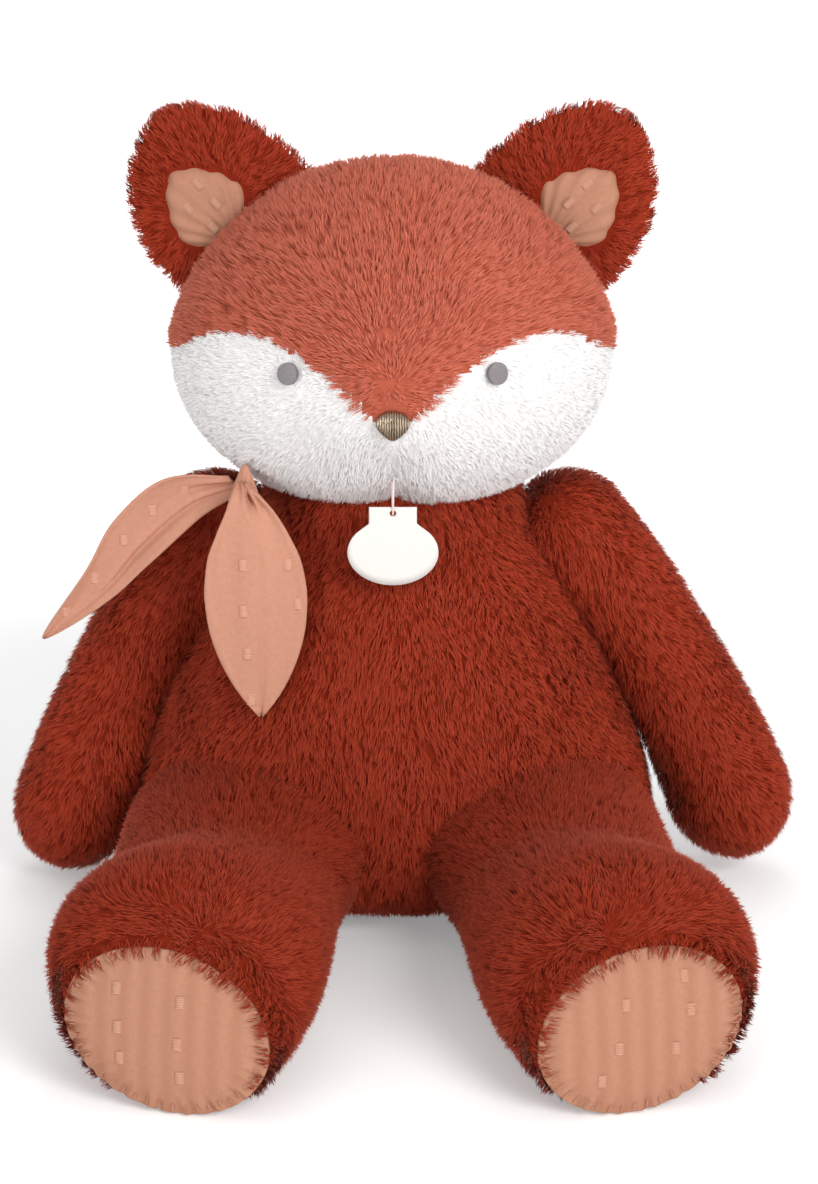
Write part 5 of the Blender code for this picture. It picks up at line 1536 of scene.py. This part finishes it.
def stitches(name, places, headings, normals, size, finish, body, material_slot):
    """Short raised threads: each an arch p + t l heading + h (1 - t^2) normal, as a tube that tapers."""
    length, radius = size
    t = np.linspace(-1, 1, STITCH_STEPS)
    line = places[:, None] + t[None, :, None] * headings[:, None] * length / 2
    line = line + (radius * 1.6 * (1 - t**2) - radius * 0.6)[None, :, None] * normals[:, None]
    around = circle(STITCH_SIDES)[None, None, :]
    side = unit(np.cross(headings, normals))
    taper = radius * np.sqrt(np.maximum(1 - 0.9 * t**4, 0.1))
    ring = spanned(0, (np.cos(around), side[:, None, None]), (np.sin(around), normals[:, None, None]))
    points = (line[:, :, None] + taper[None, :, None, None] * ring).reshape(-1, 3)
    first = np.arange(len(places))[:, None] * STITCH_STEPS * STITCH_SIDES
    sides = (first[:, None] + grid_faces(STITCH_STEPS, STITCH_SIDES, True)[None]).reshape(-1, 4)
    low = first + np.arange(STITCH_SIDES)
    high = (first + (STITCH_STEPS - 1) * STITCH_SIDES + np.arange(STITCH_SIDES))[:, ::-1]
    settled(piece(name, points, [sides[:, ::-1], low, high], finish), body, material_slot)


def tufts_over(name, cloth_piece, middle, right, up, spots, finish, body, material_slot):
    """Woven tufts at spots (across, above): little squares of threads that lie side by side.

    Each stands on the vertex of the cloth that lies nearest to its spot.
    """
    count = len(cloth_piece.data.vertices)
    points, normals = np.zeros(count * 3), np.zeros(count * 3)
    cloth_piece.data.vertices.foreach_get("co", points)
    cloth_piece.data.vertices.foreach_get("normal", normals)
    points, normals = points.reshape(-1, 3), normals.reshape(-1, 3)
    right, up = unit(np.array(right, float)), unit(np.array(up, float))
    shows = normals @ np.cross(right, up) > 0.3
    points, normals = points[shows], normals[shows]
    flat = np.stack([(points - middle) @ right, (points - middle) @ up], axis=1)
    nearest = np.argmin(np.linalg.norm(flat[None] - np.array(spots)[:, None], axis=2), axis=1)
    places, facing = points[nearest], normals[nearest]
    rights = unit(right - (facing @ right)[:, None] * facing)
    ups = np.cross(facing, rights)
    width, height = TUFT_SIZE
    steps = np.linspace(-0.5, 0.5, TUFT_THREADS)
    level = (places[:, None] + steps[:, None] * height * ups[:, None]).reshape(-1, 3)
    rights, facing = (np.repeat(v, TUFT_THREADS, axis=0) for v in (rights, facing))
    stitches(name, level, rights, facing, (width, TUFT_THREAD_RADIUS), finish, body, material_slot)


# Ears


def lining_outline(around):
    """A rounded triangle, narrow at the ear's tip: x = w cos t (1 - p sin t), y = r sin t."""
    across = LINING_HALF_WIDTH * np.cos(around) * (1 - LINING_PINCH * np.sin(around))
    return across, LINING_LENGTH / 2 * np.sin(around)


class MakeEars(bpy.types.Operator):
    """Makes both ears: the skin, the coat round the hollow, and the pleated lining"""

    bl_idname = "plush_fox.ears"
    bl_label = "Ears"

    def execute(self, context):
        coat, cloth = context.scene.fox_coat, context.scene.fox_cloth
        for side, sign in SIDES.items():
            body = f"ear_{side}"
            form = ear_form(sign, EAR_BACKING_INSET)
            backing(f"ear_backing_{side}", form, body, [f"ear_{side}"], rust_backing(coat))
            base, along, tip, front = ear_frame(sign)
            middle = base - LINING_OFFSET * along + LINING_LENGTH / 2 * tip

            def local(places):
                away = places - middle
                return away @ along, away @ tip, away @ front

            def keep(places):
                across, up, ahead = local(places)
                up = up / (LINING_LENGTH / 2)
                width = LINING_HALF_WIDTH * (1 - LINING_PINCH * np.clip(up, -1, 1))
                return (ahead < 0) | (np.hypot(across / width, up) > 1.0)

            def lie(places):
                across, up, ahead = local(places)
                outward = unit(across[:, None] * along + (up[:, None] + LINING_PILE_DROP) * tip)
                behind = np.broadcast_to(tip, places.shape)
                return unit(np.where(ahead[:, None] > 0, outward, 0.4 * outward + behind) + 0.35 * tip)

            hair = rust_hair(coat)
            grow_fur(f"ear_fur_{side}", form, coat, hair, body, "rust_fur", lie, keep, seed=31 + sign)
            self.make_lining(side, middle, along, tip, front, cloth)
        return {"FINISHED"}

    def make_lining(self, side, middle, along, tip, front, cloth):
        """A gathered leaf: rays of the outline, with pleats that fan up from the ear's base."""
        r = np.linspace(0.02, 1.04, 30)[:, None]
        across, up = lining_outline(circle(96))
        x, y = r * across, r * up
        turn = np.arctan2(x, y + LINING_LENGTH * LINING_FAN_SHARE)
        pleat = LINING_PLEAT * np.cos(turn * LINING_PLEATS) * (0.35 + 0.65 * r)
        lift = LINING_RISE + LINING_DOME * (1 - r**2) + pleat - LINING_EDGE_DROP * r**8
        near = spanned(middle, (x, along), (y, tip), (lift, front))
        rear = near - LINING_THICKNESS * front
        rings = np.concatenate([rear, near[::-1]])
        form = closed_form(rings, rear[0].mean(axis=0), near[0].mean(axis=0))
        body = f"ear_{side}"
        lining = mapped_piece(f"ear_lining_gauze_{side}", form, lining_gauze(cloth), middle, along, tip)
        settled(lining, body, "peach_gauze", f"ear_lining_{side}")
        thread = tuft_thread("sole", cloth.sole)
        spots = np.array(LINING_TUFTS) / 1000 * (SIDES[side], 1)
        right = -SIDES[side] * along
        tufts_over(f"ear_lining_tufts_{side}", lining, middle, right, tip, spots, thread, body, "peach_gauze")


# Limbs


class MakeArms(bpy.types.Operator):
    """Makes both arms and their coats, which lie down towards the hands"""

    bl_idname = "plush_fox.arms"
    bl_label = "Arms"

    def execute(self, context):
        coat = context.scene.fox_coat
        for side, sign in SIDES.items():
            form = arm_form(side, BACKING_INSET)
            body = f"arm_{side}"
            backing(f"arm_backing_{side}", form, body, [body], rust_backing(coat))
            angle = ARM_SPLAYS[side]
            way = toward((sign * math.sin(angle), 0, -math.cos(angle)))

            def keep(places):
                return ~inside_torso(places, CLEAR_OF_TORSO)

            hair = rust_hair(coat)
            grow_fur(f"arm_fur_{side}", form, coat, hair, body, "rust_fur", way, keep, seed=41 + sign)
        return {"FINISHED"}


class MakeLegs(bpy.types.Operator):
    """Makes both legs, their coats, and the gauze soles with their tufts"""

    bl_idname = "plush_fox.legs"
    bl_label = "Legs and soles"

    def execute(self, context):
        coat, cloth = context.scene.fox_coat, context.scene.fox_cloth
        for side, sign in SIDES.items():
            form = leg_form(side, BACKING_INSET)
            body = f"leg_{side}"
            backing(f"leg_backing_{side}", form, body, [body], rust_backing(coat))
            end, facing, right, up = foot_axes(side)
            roll = -sign * FOOT_ROLL
            long_way = math.cos(roll) * right + math.sin(roll) * up
            short_way = -math.sin(roll) * right + math.cos(roll) * up
            middle = end - up * (LEG_HALF_HEIGHTS[-1] - SOLE_HALF_HEIGHT) / 2

            def share_out(places):
                away = places - middle
                return np.hypot(away @ long_way / SOLE_HALF_LENGTH, away @ short_way / SOLE_HALF_HEIGHT)

            def keep(places):
                front = (places - end) @ facing > -FOOT_BARE_DEPTH
                on_sole = front & (share_out(places) < SOLE_BARE_SHARE)
                return ~on_sole & ~inside_torso(places, CLEAR_OF_LIMBS)

            def lie(places):
                ahead = (places - end) @ facing
                away = places - middle
                outward = unit(away - (away @ facing)[:, None] * facing)
                inward = (ahead > FOOT_PILE_TURN[1]) & (share_out(places) < SOLE_PILE_TURN_SHARE)
                outward *= np.where(inward, -1.0, 1.0)[:, None]
                share = smoothstep(*FOOT_PILE_TURN, ahead)[:, None]
                over = np.array([0, 0.8, -0.6])
                return unit((1 - share) * over + share * (0.6 * outward + 0.8 * facing))

            def length(places):
                ahead = (places - end) @ facing
                beside = (places - end) @ right
                crease = bell(beside / FOOT_PARTING_WIDTH) * smoothstep(*FOOT_PARTING, ahead)
                crease = crease * (places[:, 2] > end[2])
                return (1 + 0.15 * smoothstep(*FOOT_LONG_PILE, ahead)) * (1 - 0.6 * crease)

            hair = leg_hair(coat)
            grow_fur(f"leg_fur_{side}", form, coat, hair, body, "rust_fur", lie, keep, length, seed=51 + sign)
            self.make_sole(side, middle, facing, long_way, short_way, up, cloth)
        return {"FINISHED"}

    def make_sole(self, side, middle, facing, long_way, short_way, up, cloth):
        """An oval dome with gathers at its sewn edge: lift = crown (1 - r^2.6) with a pucker near r = 1."""
        r = np.concatenate([np.linspace(0.02, 0.8, 22), np.linspace(0.83, 1.02, 14)])[:, None]
        around = circle(240)
        x = r * SOLE_HALF_LENGTH * np.cos(around)
        y = r * SOLE_HALF_HEIGHT * np.sin(around)
        near_edge = smoothstep(0.72, 1.0, r)
        waves = (height * np.cos(around * count + turn) for height, count, turn in SOLE_PUCKERS)
        pucker = near_edge * sum(waves)
        lift = (SOLE_CROWN + SOLE_EDGE_DROP) * (1 - r**2.6) + pucker - SOLE_EDGE_DROP * near_edge
        front = spanned(middle, (x, long_way), (y, short_way), (lift, facing))
        rear = front[-1:] - SOLE_RIM_DEPTH * facing
        centre = middle - (SOLE_BACK + SOLE_SINK) * facing
        rings = np.concatenate([front, rear, centre + 0.5 * (rear - centre)])
        form = closed_form(rings, middle + lift[0].mean() * facing, centre)
        level = unit(np.cross(up, facing))
        body = f"leg_{side}"
        sole = mapped_piece(f"sole_gauze_{side}", form, sole_gauze(cloth), middle, level, up)
        settled(sole, body, "sole_gauze", f"sole_{side}")
        thread = tuft_thread("sole", cloth.sole)
        spots = np.array(SOLE_TUFTS[side]) / 1000
        tufts_over(f"sole_tufts_{side}", sole, middle, level, up, spots, thread, body, "sole_gauze")
        self.make_gathers(side, middle, facing, long_way, short_way, cloth)

    def make_gathers(self, side, middle, facing, long_way, short_way, cloth):
        """Short threads across the sole's sewn edge, each pointing away from the middle."""
        turns = circle(SOLE_GATHERS)
        across = SOLE_GATHER_SHARE * SOLE_HALF_LENGTH * np.cos(turns)
        above = SOLE_GATHER_SHARE * SOLE_HALF_HEIGHT * np.sin(turns)
        seam = spanned(middle, (across, long_way), (above, short_way)) + SOLE_GATHER_RISE * facing
        outward = unit(seam - middle - SOLE_GATHER_RISE * facing)
        faces = np.broadcast_to(facing, seam.shape)
        finish = (speckled_material, cloth.sole, cloth.sole_shade, 0.85, 1500.0, 0.0002)
        gather = once("sole_gather_thread", *finish)
        name = f"sole_gathers_{side}"
        stitches(name, seam, outward, faces, SOLE_GATHER_SIZE, gather, f"leg_{side}", "sole_gauze")


class MakeTail(bpy.types.Operator):
    """Makes the tail with its rust coat and white tip"""

    bl_idname = "plush_fox.tail"
    bl_label = "Tail"

    def execute(self, context):
        coat = context.scene.fox_coat
        form = tail_form(BACKING_INSET)
        skin = backing("tail_backing", form, "tail", ["tail", "tail_tip"], rust_backing(coat))
        line = tail_line(np.linspace(0, 1, 40))
        heading = unit(np.gradient(line, axis=0))

        def lie(places):
            nearest = np.argmin(np.linalg.norm(places[:, None] - line[None], axis=2), axis=1)
            return heading[nearest]

        def rust(places):
            return (places[:, 0] < TAIL_TIP_X) & ~inside_torso(places, CLEAR_OF_TORSO)

        def tip(places):
            return places[:, 0] >= TAIL_TIP_X

        whiten(skin, tip, coat)
        grow_fur("tail_fur", form, coat, rust_hair(coat), "tail", "rust_fur", lie, rust, seed=61)
        grow_fur("tail_tip_fur", form, coat, white_hair(coat), "tail", "white_fur", lie, tip, seed=62)
        return {"FINISHED"}


# Scarf and tag


def leaf_widths(shares, widest, root, place):
    """Half widths of a leaf: narrow at the knot, widest at `place`, and pointed at the tip."""
    rise = np.clip(shares / place, 0, 1)
    fall = np.clip((shares - place) / (1 - place), 0, 1)
    half = (root + (widest - root) * np.sin(rise * math.pi / 2)) * np.cos(fall * math.pi / 2) ** 0.8
    return half + LEAF_EDGE_WIDTH


def crease_depth(creases, u, s):
    """The sum of depth exp(-(u - a)^2 / b) exp(-(s - c)^2 / d) over the creases."""
    total = 0
    for depth, a, b, c, d in creases:
        total = total + depth * np.exp(-((u - a) ** 2) / b) * np.exp(-((s - c) ** 2) / d)
    return total


class MakeScarf(bpy.types.Operator):
    """Makes the scarf: the band round the neck, the knot and its two leaf-shaped ends"""

    bl_idname = "plush_fox.scarf"
    bl_label = "Scarf"

    def execute(self, context):
        cloth = context.scene.fox_cloth
        gauze = peach_gauze(cloth)
        self.make_band(gauze)
        self.make_knot(gauze)
        self.make_front_leaf(gauze, cloth)
        self.make_side_leaf(gauze, cloth)
        return {"FINISHED"}

    def make_band(self, gauze):
        """A gathered tube round the neck's ball: t |cos a|^0.45 by w sin a, which swells with the pleats."""
        turns, around = circle(180), circle(20)
        pleat = (1 - BAND_PLEAT_SHARE * (1 - np.cos(turns * BAND_PLEATS)) / 2)[:, None]
        bulge = np.sign(np.cos(around)) * np.abs(np.cos(around)) ** 0.45
        distance = BAND_DISTANCE + BAND_HALF_THICKNESS * pleat * bulge
        latitude = BAND_LATITUDE + BAND_HALF_WIDTH * pleat * np.sin(around) / BAND_DISTANCE
        flat = distance * np.cos(latitude)
        x, y = flat * np.cos(turns[:, None]), flat * np.sin(turns[:, None])
        points, faces = looped_form(np.stack([x, y, NECK_HEIGHT + distance * np.sin(latitude)], axis=-1))
        place = np.stack([np.repeat(turns, 20), np.tile(around, 180)], axis=1) * BAND_MAP_SCALES
        band = piece("scarf_band_gauze", points, faces, gauze, place[faces[0].ravel()])
        settled(band, "torso", "peach_gauze", "scarf_band")

    def make_knot(self, gauze):
        """A drop of gathered cloth: half widths up its height, with creases that run up to its neck."""
        out = np.array([math.cos(KNOT_ANGLE), math.sin(KNOT_ANGLE), 0])
        side = np.array([-out[1], out[0], 0])
        up = np.array([0, 0, 1.0])
        rise = np.linspace(0, 1, 44)[1:-1, None]
        around = circle(96)
        half = softened(np.interp(rise, KNOT_RISE, KNOT_HALF_WIDTHS), 6)
        crease = 1 + np.cos(KNOT_PLEATS * around + KNOT_PLEAT_TURN * rise)
        gather = 1 - KNOT_PLEAT_SHARE * crease / 2 * np.clip(rise * 2, 0, 1)
        x = half * np.cos(around) * gather
        y = half * KNOT_DEPTH_SHARE * np.sin(around) * gather
        z = (rise - KNOT_BASE_SHARE) * KNOT_LENGTH
        middle = np.array(KNOT_PLACE)
        rings = spanned(middle, (x, side), (y, out), (z, up))
        low = middle - KNOT_BASE_SHARE * KNOT_LENGTH * up
        form = closed_form(rings, low, middle + (1 - KNOT_BASE_SHARE) * KNOT_LENGTH * up)
        knot = mapped_piece("scarf_knot_gauze", form, gauze, middle, side, up)
        settled(knot, "torso", "peach_gauze", "scarf_knot")

    def make_front_leaf(self, gauze, cloth):
        """The end that hangs down the chest, pleated below the knot and flat at its point."""
        s = np.linspace(0, 1, 64)[:, None]
        u = np.linspace(-1, 1, 41)[None, :]
        path = smooth_path(FRONT_LEAF_PATH, s[:, 0])
        fallen = distances_along(path)
        half = np.interp(fallen / fallen[-1], FRONT_LEAF_WIDTH_SHARES, FRONT_LEAF_HALF_WIDTHS)
        gathers = FRONT_LEAF_GATHER * np.cos(u * 9 + 0.5) * bell(s / 0.22)
        wave = FRONT_LEAF_WAVE * np.cos(u * math.pi * 1.5) * np.sin(s * math.pi)
        wave = wave + LEAF_RIPPLE * np.sin(s * 11 + u * 3)
        wave = wave - FRONT_LEAF_GROOVE * np.exp(-((u - 0.12) ** 2) / 0.012) * smoothstep(0.45, 0.6, s)
        lift = -crease_depth(FRONT_LEAF_CREASES, u, s) + gathers + wave
        across = np.array([1.0, 0, 0])
        leaf = self.make_leaf("front", path, across, softened(half, 4), lift, u, gauze, FRONT_LEAF_FLAT)
        self.add_tufts(leaf, FRONT_LEAF_TUFTS, "scarf_front", cloth)

    def make_side_leaf(self, gauze, cloth):
        """The end that lies over the shoulder, with its lower edge folded in."""
        s = np.linspace(0, 1, 64)[:, None]
        u = np.linspace(-1, 1, 33)[None, :]
        path = smooth_path(SIDE_LEAF_PATH, s[:, 0])
        half = leaf_widths(s[:, 0], SIDE_LEAF_HALF_WIDTH, SIDE_LEAF_ROOT_HALF_WIDTH, SIDE_LEAF_WIDEST_SHARE)
        cup = SIDE_LEAF_CUP * (u - 0.2) ** 2 * np.sin(s * math.pi) ** 0.5
        tuck = SIDE_LEAF_TUCK * np.exp(-((u + 0.48) ** 2) / 0.010) * np.sin(np.clip(s * 1.1, 0, 1) * math.pi)
        lift = cup + LEAF_RIPPLE * np.sin(s * 13 + u * 4) - crease_depth(SIDE_LEAF_CREASES, u, s) - tuck
        across = np.array([-math.sin(SIDE_LEAF_SLOPE), 0, math.cos(SIDE_LEAF_SLOPE)])
        leaf = self.make_leaf("side", path, across, half, lift, u, gauze, SIDE_LEAF_FLAT)
        self.add_tufts(leaf, SIDE_LEAF_TUFTS, "scarf_side", cloth)

    def make_leaf(self, end, path, across, half, lift, u, gauze, flat):
        """Both faces of a leaf, path + half width u across + lift forward, closed by a hemmed edge."""
        forward = np.array([0, -1.0, 0])
        hem = 1 + 0.55 * smoothstep(0.80, 0.86, np.abs(u))
        edge = CLOTH_THICKNESS / 2 * hem * np.sqrt(np.maximum(1 - u**10, 0.02))
        width = half[:, None] * u
        grids = [spanned(path[:, None], (width, across), (z, forward)) for z in (lift + edge, lift - edge)]
        length = np.broadcast_to(distances_along(path)[:, None], width.shape)
        leaf = cloth_shell(f"scarf_{end}_gauze", *grids, np.stack([width, length], axis=-1), gauze)
        settled(leaf, f"scarf_{end}", "peach_gauze", f"scarf_tail_{end}")
        return leaf

    def add_tufts(self, leaf, spots, body, cloth):
        """Tufts on a leaf's front, at spots given as x and z in millimetres."""
        thread = tuft_thread("scarf", cloth.scarf)
        spots = np.array(spots) / 1000
        origin, right, up = np.zeros(3), (1, 0, 0), (0, 0, 1)
        tufts_over(f"{body}_tufts", leaf, origin, right, up, spots, thread, body, "peach_gauze")


def card_rim(c, s):
    """Distance from the hole to the rim along (cos, sin): the further of the tab's sides and the oval."""
    drop = TAG_TAB_HEIGHT + TAG_HALF_HEIGHT - 2 * TAG_HOLE_RADIUS
    top = np.where(s > 0, 2 * TAG_HOLE_RADIUS / np.maximum(s, 1e-6), 1.0)
    tab = np.minimum(TAG_TAB_HALF_WIDTH / np.maximum(np.abs(c), 1e-6), top)
    tab = np.where(s > 0, tab, np.minimum(tab, drop))
    a = (c / TAG_HALF_WIDTH) ** 2 + (s / TAG_HALF_HEIGHT) ** 2
    b = 2 * s * drop / TAG_HALF_HEIGHT**2
    root = b * b - 4 * a * ((drop / TAG_HALF_HEIGHT) ** 2 - 1)
    return np.maximum(tab, np.where(root > 0, (-b + np.sqrt(np.maximum(root, 0))) / (2 * a), 0))


class MakeTag(bpy.types.Operator):
    """Makes the blank card and the loop of thread that it hangs on"""

    bl_idname = "plush_fox.tag"
    bl_label = "Hang tag"

    def execute(self, context):
        cloth = context.scene.fox_cloth
        anchor = np.array(TAG_ANCHOR)
        hole = anchor - (0, 0, TAG_DROP)
        self.make_card(hole, cloth)
        self.make_thread(anchor, hole, cloth)
        return {"FINISHED"}

    def make_card(self, hole, cloth):
        """Rays from the hole to the rim, on both faces of a slightly bowed card."""
        around = circle(144)
        c, s = np.cos(around), np.sin(around)
        share = np.linspace(0, 1, 10)[:, None]
        distance = TAG_HOLE_RADIUS + (card_rim(c, s) - TAG_HOLE_RADIUS) * share
        x, z = distance * c, distance * s
        bow = TAG_BOW * (x / TAG_HALF_WIDTH) ** 2
        thick = TAG_THICKNESS / 2 * (1 - 0.35 * smoothstep(0.9, 1.0, share))
        front, back = (hole + np.stack([x, side * thick + bow, z], axis=-1) for side in (-1, 1))
        form = looped_form(np.concatenate([front, back[::-1]]))
        finish = (speckled_material, cloth.card, darkened(cloth.card, 0.93), 0.6, 900.0, 0.00005)
        card = piece("tag_card_blank", *form, once("tag_card_stock", *finish))
        settled(card, "tag", "ivory_card", "tag_card")

    def make_thread(self, anchor, hole, cloth):
        """An open loop: down in front of the card, through the hole and up behind it."""
        low = hole[2] - TAG_HOLE_RADIUS + THREAD_DIAMETER / 2 + THREAD_CLEARANCE
        half = (anchor[2] - low) / 2
        turns = np.linspace(math.pi, -math.pi, 33)
        x = THREAD_ENDS_APART * turns / math.pi
        y = -THREAD_LOOP_WIDTH / 2 * np.sin(turns)
        path = np.array([anchor[0], anchor[1], low + half]) + np.stack([x, y, -half * np.cos(turns)], axis=1)
        curve = bpy.data.curves.new("tag_thread_loop", "CURVE")
        curve.dimensions = "3D"
        curve.bevel_depth = THREAD_DIAMETER / 2
        curve.bevel_resolution = 2
        spline = curve.splines.new("POLY")
        spline.points.add(len(path) - 1)
        spline.points.foreach_set("co", np.hstack([path, np.ones((len(path), 1))]).ravel())
        finish = (speckled_material, cloth.tag_thread, darkened(cloth.tag_thread, 0.8), 0.8, 1800.0, 0.0002)
        curve.materials.append(once("tag_thread_twist", *finish))
        loop = settled(linked("tag_thread_loop", curve), "tag", "thread", "tag_thread")


class DressFillings(bpy.types.Operator):
    """Gives the stuffing inside the skins its fibrous finish"""

    bl_idname = "plush_fox.fillings"
    bl_label = "Stuffing"

    def execute(self, context):
        finish = (speckled_material, (0.86, 0.85, 0.82), (0.70, 0.69, 0.66), 0.95, 260.0, 0.0006)
        fibre = once("stuffing_fibre", *finish)
        for name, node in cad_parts.items():
            if "filling" in name:
                for slot in node.material_slots:
                    slot.material = fibre
        return {"FINISHED"}


# The add-on


class FoxPanel(bpy.types.Panel):
    """Lists the settings and the steps"""

    bl_idname = "VIEW3D_PT_plush_fox"
    bl_label = "Plush Fox"
    bl_space_type = "VIEW_3D"
    bl_region_type = "UI"
    bl_category = "Plush Fox"

    def draw(self, context):
        layout = self.layout
        for step in STEPS:
            layout.operator(step.bl_idname)
        for scene_name in GROUPS:
            box = layout.box()
            group = getattr(context.scene, scene_name)
            for name in group.__annotations__:
                box.prop(group, name)


STEPS = (
    MakeStage,
    MakeTag,
    MakeTorso,
    MakeHead,
    MakeFace,
    MakeEars,
    MakeArms,
    MakeLegs,
    MakeTail,
    MakeScarf,
    DressFillings,
)
GROUPS = {"fox_coat": FoxCoat, "fox_cloth": FoxCloth, "fox_stage": FoxStage}


def register():
    for name, group in GROUPS.items():
        bpy.utils.register_class(group)
        setattr(bpy.types.Scene, name, bpy.props.PointerProperty(type=group))
    for step in (*STEPS, FoxPanel):
        bpy.utils.register_class(step)


def unregister():
    for step in (FoxPanel, *reversed(STEPS)):
        bpy.utils.unregister_class(step)
    for name, group in reversed(GROUPS.items()):
        delattr(bpy.types.Scene, name)
        bpy.utils.unregister_class(group)


def main():
    """Registers the add-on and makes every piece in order."""
    register()
    for step in STEPS:
        family, name = step.bl_idname.split(".")
        getattr(getattr(bpy.ops, family), name)()


if __name__ == "__main__":
    main()
